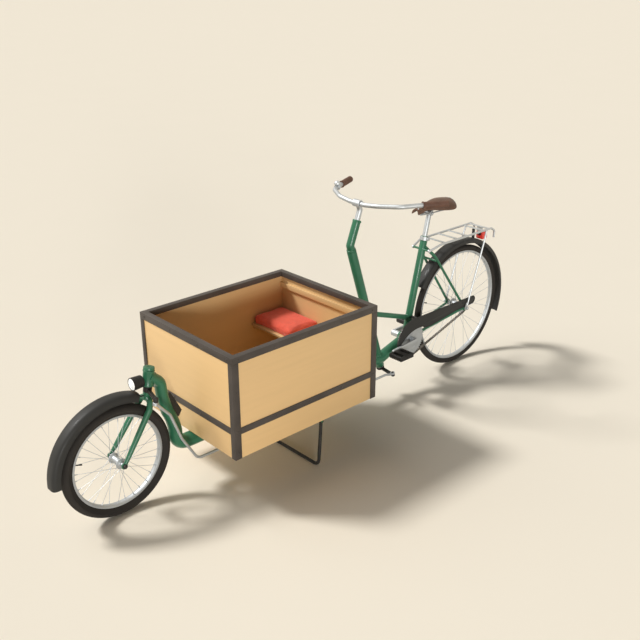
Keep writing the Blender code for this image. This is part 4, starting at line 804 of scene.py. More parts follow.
@dataclass(frozen=True)
class Plywood(Finish):
    """Lacquered plywood with a quiet grain, or with its layers showing on an edge."""

    grain: Grain = Grain.ALONG
    layered: bool = False

    def mixed(self) -> Recipe:
        """Mix the wood.

        Returns:
            The recipe.
        """
        recipe = Recipe(self.name)
        wide = recipe.noise(5.0, recipe.stretched(self.grain.value), 6.0)
        fine = recipe.noise(60.0, recipe.stretched(self.grain.value), 3.0)
        share = recipe.math("ADD", recipe.math("MULTIPLY", wide, 0.75), recipe.math("MULTIPLY", fine, 0.25))
        face = recipe.blend(share, linear(self.colour, 0.975), linear(self.colour, 1.025))
        if self.layered:
            spot = recipe.axes()
            layers = recipe.math("SINE", recipe.math("MULTIPLY", spot["Z"], 2 * pi / 0.0034))
            edge = recipe.blend(recipe.between(layers, -0.4, 1.4), linear(self.colour, 0.62),
                                linear(self.colour, 1.05))
            facing = recipe.add("ShaderNodeNewGeometry").outputs["Normal"]
            upright = recipe.add("ShaderNodeSeparateXYZ", Vector=facing)
            on_face = recipe.math("GREATER_THAN", recipe.math("ABSOLUTE", upright.outputs["Z"]), 0.6)
            mix = recipe.add("ShaderNodeMix")
            mix.data_type = "RGBA"
            recipe.tree.links.new(on_face, mix.inputs["Factor"])
            recipe.tree.links.new(edge, mix.inputs[6])
            recipe.tree.links.new(face, mix.inputs[7])
            face = mix.outputs[2]
        recipe.colour(face)
        recipe.roughness(recipe.between(fine, self.rough - 0.06, self.rough + 0.08))
        recipe.relief(fine, 0.00015, 0.4)
        recipe.fixed(Coat_Weight=0.12, Coat_Roughness=0.3)
        return recipe


@dataclass(frozen=True)
class Cloth(Finish):
    """Woven cushion cloth: threads over and under each other."""

    threads_per_metre: float = 620.0

    def mixed(self) -> Recipe:
        """Mix the cloth.

        Returns:
            The recipe.
        """
        recipe = Recipe(self.name)
        spot = recipe.axes()
        turn = 2 * pi * self.threads_per_metre
        warp = recipe.math("SINE", recipe.math("MULTIPLY", recipe.math("ADD", spot["X"], spot["Z"]), turn))
        across = recipe.math("SUBTRACT", spot["Y"], spot["Z"])
        weft = recipe.math("SINE", recipe.math("MULTIPLY", across, turn))
        weave = recipe.math("MULTIPLY", warp, weft)
        share = recipe.math("ADD", recipe.math("MULTIPLY", recipe.noise(30.0, detail=5.0), 0.7),
                            recipe.math("MULTIPLY", recipe.between(weave, 0.0, 1.0), 0.3))
        recipe.colour(recipe.blend(share, linear(self.colour, 0.80), linear(self.colour, 1.12)))
        recipe.relief(weave, 0.0003, 0.6, recipe.relief(recipe.noise(60.0), 0.0012, 0.35))
        recipe.fixed(Roughness=self.rough, Sheen_Weight=0.25, Sheen_Roughness=0.4)
        return recipe


@dataclass(frozen=True)
class Leather(Finish):
    """Worn leather with small creases."""

    creases: float = 260.0

    def mixed(self) -> Recipe:
        """Mix the leather.

        Returns:
            The recipe.
        """
        recipe = super().mixed()
        creases = recipe.add("ShaderNodeTexVoronoi", Vector=recipe.place, Scale=self.creases)
        cells = creases.outputs["Distance"]
        share = recipe.noise(24.0, detail=6.0)
        recipe.colour(recipe.blend(share, linear(self.colour, 0.72), linear(self.colour, 1.25)))
        recipe.relief(cells, 0.0004, 0.45)
        return recipe


@dataclass(frozen=True)
class Lens(Finish):
    """Moulded lens with ribs behind a smooth face."""

    ribs_per_metre: float = 200.0
    glow: float = 0.0

    def mixed(self) -> Recipe:
        """Mix the lens.

        Returns:
            The recipe.
        """
        recipe = Recipe(self.name)
        spot = recipe.axes()
        ribs = recipe.math("SINE", recipe.math("MULTIPLY", spot["Y"], 2 * pi * self.ribs_per_metre))
        share = recipe.between(ribs, 0.0, 1.0)
        recipe.colour(recipe.blend(share, linear(self.colour, 0.85), linear(self.colour, 1.08)))
        recipe.relief(ribs, 0.0003, 0.5)
        recipe.fixed(Roughness=self.rough, Coat_Weight=0.8, Coat_Roughness=0.05, IOR=1.5)
        recipe.shader.inputs["Emission Color"].default_value = linear(self.colour)
        recipe.fixed(Emission_Strength=self.glow)
        return recipe


@dataclass(frozen=True)
class Finishes:
    """Every finish on the bike."""

    green: Paint = Paint("green_frame_paint", (48, 108, 80), 0.36, 0.35, coat=0.12)
    dark_fender: Paint = Paint("dark_fender_paint", (50, 50, 49), 0.50, 0.20, coat=0.03)
    steel: Powder = Powder("dark_powder_coat", (64, 58, 54), 0.50, 0.35, rubbed=(80, 73, 68))
    black: Powder = Powder("black_powder_coat", (42, 41, 39), 0.48, 0.25, rubbed=(56, 54, 51))
    silver: BareMetal = BareMetal("silver_alloy", (182, 187, 192), 0.50)
    chrome: BareMetal = BareMetal("bright_steel", (196, 201, 206), 0.42)
    chain: BareMetal = BareMetal("oiled_chain_steel", (112, 108, 102), 0.38)
    plastic: Finish = Finish("black_moulding", (38, 37, 36), 0.5, 0.25)
    along: Plywood = Plywood("plywood_along", (224, 187, 133), 0.5, grain=Grain.ALONG)
    across: Plywood = Plywood("plywood_across", (224, 187, 133), 0.5, grain=Grain.ACROSS)
    board: Plywood = Plywood("plywood_layers", (224, 187, 133), 0.5, grain=Grain.ACROSS, layered=True)
    cushion: Cloth = Cloth("coral_cloth", (255, 104, 80), 0.85)
    saddle: Leather = Leather("brown_saddle_leather", (98, 72, 58), 0.5, 0.3)
    grip: Leather = Leather("brown_grip_leather", (98, 70, 57), 0.55, 0.3)
    white: Lens = Lens("clear_lamp_lens", (244, 244, 240), 0.12, ribs_per_metre=260.0, glow=0.35)
    red: Lens = Lens("red_lamp_lens", (214, 52, 40), 0.15, ribs_per_metre=180.0, glow=0.12)


FINISH = Finishes()
SHARP = radians(32)


def dress(piece: bpy.types.Object, finish: Finish, body: str, slot: str, *instead_of: str) -> None:
    """Smooth a piece, give it its finish and hand it over to its body.

    Args:
        piece: The finished piece.
        finish: Its finish.
        body: The body that it moves with.
        slot: Its colour slot, which is not used.
        instead_of: CAD nodes that it takes the place of.
    """
    pick(piece)
    bpy.ops.object.shade_smooth_by_angle(angle=SHARP)
    piece.data.materials.clear()
    piece.data.materials.append(finish.material())
    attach(piece, body)
    if instead_of:
        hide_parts(*instead_of)
    log.info("%s: %d faces, on %s", piece.name, len(piece.data.polygons), body)


def hex_nut(centre: Vector, out: Vector, radius: float, height: float) -> bpy.types.Object:
    """A hexagon nut on a washer with a domed cap.

    Args:
        centre: Middle of the washer's inner face.
        out: Direction in which the nut stands.
        radius: Radius over the nut's corners.
        height: Height of washer and nut.

    Returns:
        The nut.
    """
    out = out.normalized()
    washer = bar("washer", centre, centre + out * 0.0015, radius * 1.05, 28, 0.0003)
    nut = bar("nut", centre + out * 0.0015, centre + out * height, radius, 6, 0.0006)
    cap_foot = centre + out * (height - 0.0005)
    cap = lathe("cap", [(radius * 0.72, 0), (radius * 0.66, 0.0022), (radius * 0.40, 0.0042), (0, 0.0048)],
                cap_foot, out, 20)
    return joined("nut", [washer, nut, cap])


def head_of_bolt(centre: Vector, out: Vector, radius: float, height: float) -> bpy.types.Object:
    """A domed bolt head that stands on a face.

    Args:
        centre: Middle of the face that it stands on.
        out: Direction in which it stands.
        radius: Its radius.
        height: Its height.

    Returns:
        The head.
    """
    profile = [(radius, -0.0004), (radius, height * 0.3), (radius * 0.8, height * 0.75),
               (radius * 0.42, height), (radius * 0.36, height * 0.6), (0, height * 0.6)]
    return lathe("bolt", profile, centre, out, 14)


# Steering geometry that several sub-assemblies share

@dataclass(frozen=True)
class SteeringLayout:
    """Axes of the front fork and of the rear steering column, and where the rod is hung."""

    head_x: float = 2.012
    head_z: float = 0.565
    head_tilt: float = radians(-9.5)
    column_x: float = 0.841
    column_top: float = 0.857
    column_foot: float = 0.172
    column_tilt: float = radians(18)
    hinge: tuple[float, float, float] = (0.3002, -0.0383, 0.9500)

    def head(self, z: float) -> Vector:
        """The point of the fork's axis at a height."""
        return at(self.head_x + (z - self.head_z) * tan(self.head_tilt), 0, z)

    def column(self, z: float) -> Vector:
        """The point of the column's axis at a height."""
        return at(self.column_x + (z - self.column_top) * tan(self.column_tilt), 0, z)

    def head_axis(self) -> Vector:
        """Direction of the fork's axis."""
        return Vector((sin(self.head_tilt), 0, cos(self.head_tilt)))

    def column_axis(self) -> Vector:
        """Direction of the column's axis."""
        return Vector((sin(self.column_tilt), 0, cos(self.column_tilt)))

    def rod_hinge(self) -> Vector:
        """Direction of the rod's rear pivot."""
        return Vector(self.hinge).normalized()

    def arm_end(self, centre: Vector, axis: Vector, length: float, swept: float) -> Vector:
        """Where an arm that is swept forward ends, square to its axis."""
        forward = Vector((axis.z, 0, -axis.x))
        return centre + (forward * sin(swept) + SIDE * cos(swept)) * length


LAYOUT = SteeringLayout()


@dataclass
class Wheel:
    """A spoked wheel: tyre, rim, hub, spokes, nipples and valve."""

    which: str
    centre: Vector
    bead: float
    tyre_width: float
    rim_width: float
    flange: float
    flange_y: float
    barrel: float
    hub_end: float
    crossings: int
    spokes: int = 32
    steps: int = 112
    rim_depth: float = 0.0065
    groove: float = 0.0012
    cuts_per_metre: float = 420.0
    valve_angle: float = 0.3

    def tyre(self) -> None:
        """The tyre with its ribs and grooves."""
        crown = self.bead + self.tyre_width
        half = self.tyre_width / 2
        bead_half = self.rim_width / 2 - 0.0024
        section = [(self.bead + HAIR, bead_half), (self.bead + 0.0075, bead_half)]
        for middle in (6, 17, 22, 34, 46):
            raised = 0.0004 if middle == 22 else 0.0
            section.append(self.tyre_point(crown, half + raised, middle))
        for middle in (54, 72, 90, 108, 126):
            for offset, inset in ((-3.2, 0.0), (-1.6, self.groove), (1.6, self.groove), (3.2, 0.0)):
                section.append(self.tyre_point(crown, half - inset, middle + offset))
            if middle < 126:
                section.append(self.tyre_point(crown, half, middle + 9))
        for middle in (134, 146, 158, 163, 174):
            raised = 0.0004 if middle == 158 else 0.0
            section.append(self.tyre_point(crown, half + raised, middle))
        section += [(self.bead + 0.0075, -bead_half), (self.bead + HAIR, -bead_half)]
        tyre = lathe(f"{self.which}_tyre_body", section, self.centre, SIDE, self.steps, closed=True)
        rubber = TyreRubber(f"{self.which}_tyre_rubber", (50, 47, 44), 0.75, 0.15,
                            (self.centre.x, self.centre.z), crown, round(crown * self.cuts_per_metre))
        dress(tyre, rubber, f"{self.which}_wheel", "rubber", f"{self.which}_tyre")

    def tyre_point(self, crown: float, reach: float, degrees_up: float) -> tuple[float, float]:
        """A point of the tyre's round section."""
        angle = radians(degrees_up)
        return crown - self.tyre_width / 2 + reach * sin(angle), reach * cos(angle)

    def rim(self) -> None:
        """The rim with rounded hooks, its brake faces and its spoke bed, and the valve."""
        half = self.rim_width / 2
        hook = self.bead + 0.006
        bed = self.bead - self.rim_depth
        side = [(hook - 0.0006, half), (hook, half - 0.0007), (hook - 0.0004, half - 0.0018),
                (self.bead + 0.0008, half - 0.0020), (self.bead, half - 0.0030)]
        lip, slope = self.bead - self.rim_depth * 0.375, self.bead - self.rim_depth * 0.625
        inner = [(lip, -half), (slope, -half * 0.88), (bed + 0.0008, -half * 0.60), (bed, -half * 0.45),
                 (bed - 0.0006, 0), (bed, half * 0.45), (bed + 0.0008, half * 0.60), (slope, half * 0.88),
                 (lip, half)]
        profile = side + [(r, -h) for r, h in reversed(side)] + inner
        rim = lathe(f"{self.which}_rim_hoop", profile, self.centre, SIDE, self.steps, closed=True)
        dress(rim, FINISH.silver, f"{self.which}_wheel", "silver", f"{self.which}_rim")
        out = toward(self.valve_angle)
        foot = self.centre + out * (bed + 0.001)
        valve = lathe(f"{self.which}_valve", [(0.0034, 0), (0.0034, 0.004), (0.0024, 0.005), (0.0024, 0.022),
                                              (0.0032, 0.023), (0.0032, 0.034), (0, 0.035)], foot, -out, 14)
        dress(valve, FINISH.plastic, f"{self.which}_wheel", "rubber")

    def hub(self) -> None:
        """The hub shell with two flanges and end collars."""
        flange = self.flange_y
        upper = [(0.0054, self.hub_end), (0.0095, self.hub_end), (0.0102, self.hub_end - 0.001),
                 (0.0108, flange + 0.0045), (0.0140, flange + 0.0030), (self.flange - 0.001, flange + 0.0020),
                 (self.flange, flange + 0.0010), (self.flange, flange - 0.0010),
                 (self.flange - 0.001, flange - 0.0020), (self.barrel + 0.004, flange - 0.0028),
                 (self.barrel + 0.001, flange - 0.0060), (self.barrel, flange - 0.0110)]
        lower = [(r, -h) for r, h in reversed(upper)]
        hub = lathe(f"{self.which}_hub_shell", upper + lower, self.centre, SIDE, 40, closed=True)
        dress(hub, FINISH.silver, f"{self.which}_wheel", "silver", f"{self.which}_hub_spokes")

    def spoke_places(self) -> list[tuple[Vector, Vector]]:
        """Both ends of every spoke.

        Returns:
            Pairs of a place at the hub and a place at the rim.
        """
        per_side = self.spokes // 2
        step = 2 * pi / per_side
        bed = self.bead - self.rim_depth
        root = self.flange - 0.0045
        places = []
        for hand in Hand:
            side = hand.value
            for i in range(per_side):
                lay = 1 if i % 2 == 0 else -1
                start = step * (i + 0.25 * side)
                end = start + lay * self.crossings * step
                near = Vector((root * cos(start), side * (self.flange_y + lay * 0.0022), root * sin(start)))
                far = Vector((bed * cos(end), side * (0.0035 + lay * 0.0008), bed * sin(end)))
                places.append((self.centre + near, self.centre + far))
        return places

    def lacing(self) -> None:
        """The crossed spokes and the nipples that hold them in the rim."""
        ends = self.spoke_places()
        length = (ends[0][1] - ends[0][0]).length
        spoke = bar("spoke", Vector((0, 0, 0)), UP * length, 0.0010, 8, 0.0002)
        profile = [(0.0011, -0.014), (0.0019, -0.013), (0.0019, -0.003), (0.0030, -0.001), (0, 0.001)]
        nipple = lathe("nipple", profile, UP * length, UP, 8)
        places = [aimed(near, far - near) @ Matrix.Diagonal((1, 1, (far - near).length / length, 1))
                  for near, far in ends]
        lacing = joined(f"{self.which}_spokes", placed(spoke, places))
        dress(lacing, FINISH.chrome, f"{self.which}_wheel", "silver")
        nipples = joined(f"{self.which}_nipples", placed(nipple, places))
        dress(nipples, FINISH.silver, f"{self.which}_wheel", "silver")

    def build(self) -> None:
        """Make the whole wheel."""
        self.tyre()
        self.rim()
        self.hub()
        self.lacing()


@dataclass
class Axles:
    """Spindles, spacers and nuts of both wheels."""

    spindle: float = 0.005
    front_end_y: float = 0.0585
    rear_end_y: float = 0.0745
    nut_radius: float = 0.0095
    nut_height: float = 0.0085
    front_nut_y: float = 0.0532
    rear_nut_y: float = 0.0587

    def build(self) -> None:
        """Make both axles."""
        rows = (("front_axle", FRONT_AXLE, self.front_end_y, self.front_nut_y, FINISH.black, "front_fork",
                 "black_steel"),
                ("rear_axle", REAR_AXLE, self.rear_end_y, self.rear_nut_y, FINISH.silver, "bike_frame",
                 "silver"))
        for node, centre, end_y, inner_y, finish, body, slot in rows:
            reach = SIDE * (end_y + self.nut_height)
            parts = [bar("spindle", centre - reach, centre + reach, self.spindle, 20, 0.0005)]
            for hand in Hand:
                out = SIDE * hand.value
                parts.append(hex_nut(centre + out * (end_y + HAIR), out, self.nut_radius, self.nut_height))
                spacer = centre + out * (inner_y - 0.0035)
                parts.append(bar("cone", spacer, centre + out * inner_y, 0.0088, 24, 0.0006))
            dress(joined(f"{node}_set", parts), finish, body, slot, node)


@dataclass
class MainFrame:
    """The welded frame: beam and down tube, seat tube, head tubes, stays, brackets and cross bars."""

    beam_radius: float = 0.030
    nose_radius: float = 0.022
    beam_height: float = 0.215
    beam_foot_x: float = 0.615
    bottom_x: float = 0.428222
    bottom_z: float = 0.278
    shell_radius: float = 0.022
    shell_half: float = 0.0345
    seat_top: tuple[float, float, float] = (0.302, 0, 0.817)
    seat_radius: float = 0.019
    column_radius: float = 0.0235
    head_radius: float = 0.024
    head_foot: float = 0.5425
    head_top: float = HEAD_TOP
    brace_radius: float = 0.0135
    stay_radius: float = 0.009
    stay_end_radius: float = 0.007
    stay_end_y: float = 0.0572
    dropout_y: float = 0.0590
    bar_half: float = 0.294
    bar_width: float = 0.040
    box_foot: float = BOX_FOOT
    bar_places: tuple[float, float, float] = (1.062, STAND_X, 1.770)
    stand_x: float = STAND_X
    stand_z: float = STAND_Z
    recess: float = 0.0040
    oval: float = 1.3
    oval_from: float = 1.2

    def bottom(self) -> Vector:
        """Centre of the crank bearing."""
        return at(self.bottom_x, 0, self.bottom_z)

    def seat_point(self, z: float) -> Vector:
        """The point of the seat tube's axis at a height."""
        top = at(*self.seat_top)
        return self.bottom().lerp(top, (z - self.bottom_z) / (top.z - self.bottom_z))

    def beam_path(self) -> tuple[list[Vector], list[float]]:
        """Centre line and radii of the beam and the down tube.

        Returns:
            The points, and the radius at each.
        """
        bend = FRONT_RADIUS + 0.009 + 0.027
        wrap = arc(FRONT_AXLE, bend, radians(172), radians(152), 10)
        kink = Vector((wrap[0].x, 0, self.beam_height))
        rise = rounded([self.bottom(), at(self.beam_foot_x, 0, self.beam_height), kink, wrap[0]], 0.055, 12)
        shoulder = at(1.958, 0, 0.541)
        knee = wrap[-1].lerp(shoulder, 0.5) + FORWARD * 0.006
        joint = LAYOUT.head((self.head_foot + self.head_top) / 2 + 0.01)
        top = rounded([wrap[-1], knee, shoulder, joint], 0.04, 8)
        path = rise + wrap[1:] + top[1:]
        lengths = [0.0]
        for before, after in zip(path, path[1:]):
            lengths.append(lengths[-1] + (after - before).length)
        taper_from = next(d for d, p in zip(lengths, path) if p.x > kink.x - 0.055)
        radii = []
        for done in lengths:
            share = max(0.0, (done - taper_from) / (lengths[-1] - taper_from))
            radii.append(self.beam_radius + (self.nose_radius - self.beam_radius) * share)
        radii[0] = self.shell_radius + 0.002
        return path, radii

    def seat_stay(self) -> list[Vector]:
        """Corners of the left seat stay."""
        end = REAR_AXLE + Vector((0.0095, self.stay_end_y, 0.0125))
        return [self.seat_point(0.765) + SIDE * 0.014, at(0.262, 0.047, 0.704), end]

    def chain_stay(self) -> list[Vector]:
        """Corners of the left chain stay.

        Returns:
            The corners, from the bottom bracket to the axle.
        """
        bottom = self.bottom()
        return [bottom + Vector((-0.004, 0.0255, 0)), bottom + Vector((-0.125, 0.033, 0.020)),
                REAR_AXLE + Vector((0.0135, self.stay_end_y, -0.0022))]

    def weld(self, centre: Vector, axis: Vector, radius: float) -> bpy.types.Object:
        """A bead of weld round a tube.

        Args:
            centre: Middle of the bead's ring.
            axis: Direction of the tube.
            radius: Radius of the tube.

        Returns:
            The bead.
        """
        turns = [2 * pi * i / 8 for i in range(8)]
        section = [(radius - 0.001 + 0.0030 * cos(a), 0.0032 * sin(a)) for a in turns]
        return lathe("weld", section, centre, axis, 28, closed=True)

    def broaden(self, beam: bpy.types.Object) -> None:
        """Press the front run of the beam and the down tube into an oval that is wider than deep.

        Args:
            beam: The swept tube.
        """
        pick(beam)
        bpy.ops.object.mode_set(mode="EDIT")
        bpy.ops.mesh.select_mode(type="VERT")
        choose(beam, "verts", lambda vertex: vertex.co.x > at(self.oval_from, 0, 0).x)
        bpy.ops.transform.resize(value=(1, self.oval, 1), center_override=(0, 0, 0))
        bpy.ops.object.mode_set(mode="OBJECT")

    def tubes(self) -> list[bpy.types.Object]:
        """The beam, the round tubes and the welds between them.

        Returns:
            The pieces, still apart.
        """
        bottom = self.bottom()
        seat_top = at(*self.seat_top)
        path, radii = self.beam_path()
        seat_axis = (seat_top - bottom).normalized()
        axis = LAYOUT.head_axis()
        foot = LAYOUT.head(self.head_foot)
        tall = (LAYOUT.head(self.head_top) - foot).length
        r = self.head_radius
        profile = [(0.0185, 0), (r, 0), (r + 0.0008, 0.001), (r + 0.0008, 0.006), (r - 0.0004, 0.009),
                   (r - 0.0004, tall - 0.009), (r + 0.0008, tall - 0.006), (r + 0.0008, tall - 0.001),
                   (r, tall), (0.0185, tall)]
        head = lathe("head_tube", profile, foot, axis, 48, closed=True)
        brace_start = LAYOUT.column(0.498)
        brace_end = self.seat_point(0.385)
        brace_way = (brace_end - brace_start).normalized()
        beam = sweep("beam", path, radii, 36)
        self.broaden(beam)
        pieces = [
            beam, head,
            bar("bottom_shell", bottom - SIDE * self.shell_half, bottom + SIDE * self.shell_half,
                self.shell_radius, 40, 0.0012),
            bar("seat_tube", bottom, seat_top, self.seat_radius, 36, 0.0008),
            bar("column_tube", LAYOUT.column(LAYOUT.column_foot), LAYOUT.column(LAYOUT.column_top),
                self.column_radius, 40, 0.0008),
            bar("brace", brace_start, brace_end, self.brace_radius, 28, 0.0004),
            self.weld(brace_start + brace_way * self.column_radius, brace_way, self.brace_radius),
            self.weld(brace_end - brace_way * (self.seat_radius + 0.001), brace_way, self.brace_radius),
            self.weld(LAYOUT.column(0.2465), LAYOUT.column_axis(), self.column_radius + 0.001),
            self.weld(bottom + seat_axis * self.shell_radius, seat_axis, self.seat_radius),
            self.weld(path[-1] - (path[-1] - path[-2]).normalized() * r, path[-1] - path[-2], radii[-1])]
        return pieces

    def stays(self) -> list[bpy.types.Object]:
        """Stays, their bridge, the fork ends for the rear axle and the rack's lug.

        Returns:
            The pieces, still apart.
        """
        pieces = []
        for name, corners in (("chain_stay", self.chain_stay()), ("seat_stay", self.seat_stay())):
            path = rounded(corners, 0.12, 10)
            last = len(path) - 1
            taper = self.stay_end_radius - self.stay_radius
            radii = [self.stay_radius + taper * i / last for i in range(last + 1)]
            left = sweep(name, path, radii, 24)
            pieces += [left, other_side(left)]
        shoulder, end = self.seat_stay()[1:]
        along = shoulder - end
        bridge = REAR_AXLE + Vector((along.x, 0, along.z)).normalized() * BRIDGE_RADIUS
        pieces.append(bar("bridge", bridge - SIDE * 0.046, bridge + SIDE * 0.046, 0.006, 20, 0.0004))
        for hand in Hand:
            inner = REAR_AXLE + SIDE * hand.value * self.dropout_y
            outer = inner + SIDE * hand.value * 0.005
            pieces.append(bar("dropout", inner, outer, 0.018, 36, 0.0008))
        lug = self.seat_point(RACK_LUG_HEIGHT) + FORWARD * 0.008
        pieces.append(bar("rack_lug", lug - SIDE * 0.050, lug + SIDE * 0.050, 0.006, 20, 0.0005))
        return pieces

    def cross_bars(self) -> list[bpy.types.Object]:
        """The bars that carry the box, and the ears and pins that carry the stand.

        Returns:
            The pieces, still apart.
        """
        low = self.beam_height + self.beam_radius - 0.0025
        high = self.box_foot - HAIR
        half = self.bar_width / 2
        reach = self.bar_half
        pieces = [block("cross_bar", at(x - half, -reach, low), at(x + half, reach, high), 0.0012)
                  for x in self.bar_places]
        for hand in Hand:
            side = hand.value
            near = at(self.stand_x - 0.012, side * (self.bar_half - 0.0065), self.stand_z - 0.012)
            far = at(self.stand_x + 0.012, side * (self.bar_half - 0.0005), high - 0.001)
            pieces.append(block("ear", near, far, 0.0008))
            pivot = at(self.stand_x, 0, self.stand_z)
            out = SIDE * side
            pieces.append(bar("pin", pivot + out * (self.bar_half - 0.004), pivot + out * 0.315, 0.005, 20,
                              0.0008))
        return pieces

    def gusset(self) -> None:
        """The dark plate along the back of the down tube."""
        outline = [at(x, -0.003, z) for x, z in
                   ((1.930, 0.352), (1.975, 0.478), (1.912, 0.474), (1.862, 0.372), (1.878, 0.346))]
        sheet = plate("gusset_plate", outline, SIDE * 0.006, 0.0008)
        dress(sheet, FINISH.black, "bike_frame", "black_steel", "down_tube_gusset")

    def bearings(self) -> None:
        """Bearing cups at the ends of the head tube and of the column tube."""
        bore = STEERER_BORE
        head, column = LAYOUT.head_axis(), LAYOUT.column_axis()
        black = (self.head_radius, FINISH.black, "black_steel")
        silver = (self.column_radius, FINISH.silver, "silver")
        rows = (("headset_cup_lower", LAYOUT.head(self.head_foot), -head, *black),
                ("headset_cup_upper", LAYOUT.head(self.head_top), head, *black),
                ("column_bearing_lower", LAYOUT.column(LAYOUT.column_foot), -column, *silver),
                ("column_bearing_upper", LAYOUT.column(LAYOUT.column_top), column, *silver))
        for node, foot, axis, radius, finish, slot in rows:
            seat = radius - self.recess
            profile = [(bore, HAIR), (seat, HAIR), (seat, 0.0022), (seat - 0.0010, 0.0030),
                       (seat - 0.0010, 0.0036), (seat, 0.0042), (seat - 0.0004, 0.0063), (bore, 0.0063)]
            ring = lathe(f"{node}_ring", profile, foot, axis, 40, closed=True)
            dress(ring, finish, "bike_frame", slot, node)

    def build(self) -> None:
        """Make the frame."""
        pieces = self.tubes() + self.stays() + self.cross_bars()
        dress(joined("welded_frame", pieces), FINISH.green, "bike_frame", "green_paint", "frame_tubes")
        self.gusset()
        self.bearings()


@dataclass
class FrontFork:
    """The fork with its crown and blades, and the steering arm clamped on it."""

    steerer: float = 0.0125
    crown_foot: float = 0.480
    crown_top: float = 0.5158
    crown_radius: float = 0.017
    blade: float = 0.0128
    blade_tip: float = 0.009
    blade_y: float = 0.043
    end_y: float = 0.0535
    end_thickness: float = 0.005
    arm_height: float = 0.5255
    arm_length: float = 0.117
    arm_sweep: float = radians(16)
    arm_depth: float = 0.0184
    clamp_radius: float = 0.0185

    def fork(self) -> None:
        """Steerer, crown, blades, fork ends and the cap on top."""
        axis = LAYOUT.head_axis()
        top = LAYOUT.head(HEAD_TOP) + axis * 0.0066
        start = LAYOUT.head(self.crown_foot + 0.01)
        parts = [bar("steerer", start, top + axis * 0.002, self.steerer, 28, 0.0004)]
        foot = LAYOUT.head(self.crown_foot)
        tall = (LAYOUT.head(self.crown_top) - foot).length
        r = self.crown_radius
        crown = [(0, 0), (r - 0.003, 0), (r, 0.003), (r, tall * 0.7), (r + 0.001, tall * 0.75),
                 (r + 0.001, tall - 0.001), (r, tall), (0, tall)]
        cap = [(0, 0.0002), (0.0206, 0.0002), (0.0206, -0.0056), (0.0232, -0.0056), (0.0238, -0.0050),
               (0.0238, 0.0038), (0.0230, 0.0056), (0.0205, 0.0064), (0.0080, 0.0070), (0.0074, 0.0058),
               (0.0042, 0.0056), (0, 0.0056)]
        parts += [lathe("crown", crown, foot, axis, 40), lathe("cap", cap, top, axis, 36)]
        shoulder = foot + Vector((0.004, 0.031, 0.003))
        knee = foot + Vector((0.016, self.blade_y, -0.024))
        tip = FRONT_AXLE + Vector((-0.0062, self.end_y + self.end_thickness / 2, 0.0084))
        path = rounded([LAYOUT.head(self.crown_foot + 0.012), shoulder, knee, tip], 0.02, 8)
        last = len(path) - 1
        path = path[:-1] + [path[-2].lerp(path[-1], share) for share in (0.45, 0.85, 1.0)]
        radii = [self.blade] * last + [self.blade - 0.0006, self.blade_tip + 0.0012, self.blade_tip - 0.0010]
        left = sweep("blade", path, radii, 28)
        parts += [left, other_side(left)]
        for hand in Hand:
            inner = FRONT_AXLE + SIDE * hand.value * self.end_y
            outer = inner + SIDE * hand.value * self.end_thickness
            parts.append(bar("fork_end", inner, outer, 0.014, 32, 0.0008))
        dress(joined("front_fork_legs", parts), FINISH.green, "front_fork", "green_paint", "fork")

    def arm(self) -> None:
        """The flat steering arm with its clamp, boss, pin and clamp bolt."""
        half = self.arm_depth / 2
        axis = LAYOUT.head_axis()
        centre = LAYOUT.head(self.arm_height)
        end = LAYOUT.arm_end(centre, axis, self.arm_length, self.arm_sweep)
        along = (end - centre).normalized()
        across = axis.cross(along)
        turn = Matrix.Translation(centre) @ Matrix((along, across, axis)).transposed().to_4x4()
        beam = block("bar", Vector((0.014, -0.006, -half + 0.0004)),
                     Vector((self.arm_length, 0.006, half - 0.0004)), 0.0015)
        beam.data.transform(turn)
        clamp = collar("clamp", centre, axis, STEERER_BORE, self.clamp_radius, half, 0.001)
        boss = bar("boss", end - axis * half, end + axis * half, 0.0105, 28, 0.0010)
        pin = bar("pin", end - axis * (half + 0.016), end, 0.005, 20, 0.0006)
        bolt = head_of_bolt(end + axis * half, axis, 0.0062, 0.0030)
        arm = joined("fork_steering_arm", [clamp, beam, boss, pin, bolt])
        dress(arm, FINISH.black, "front_fork", "black_steel", "fork_arm")

    def front_eye(self) -> Vector:
        """Centre of the rod's front eye.

        Returns:
            The centre.
        """
        axis = LAYOUT.head_axis()
        end = LAYOUT.arm_end(LAYOUT.head(self.arm_height), axis, self.arm_length, self.arm_sweep)
        return end - axis * (self.arm_depth / 2 + 0.0008 + 0.007)

    def build(self) -> None:
        """Make fork and arm."""
        self.fork()
        self.arm()


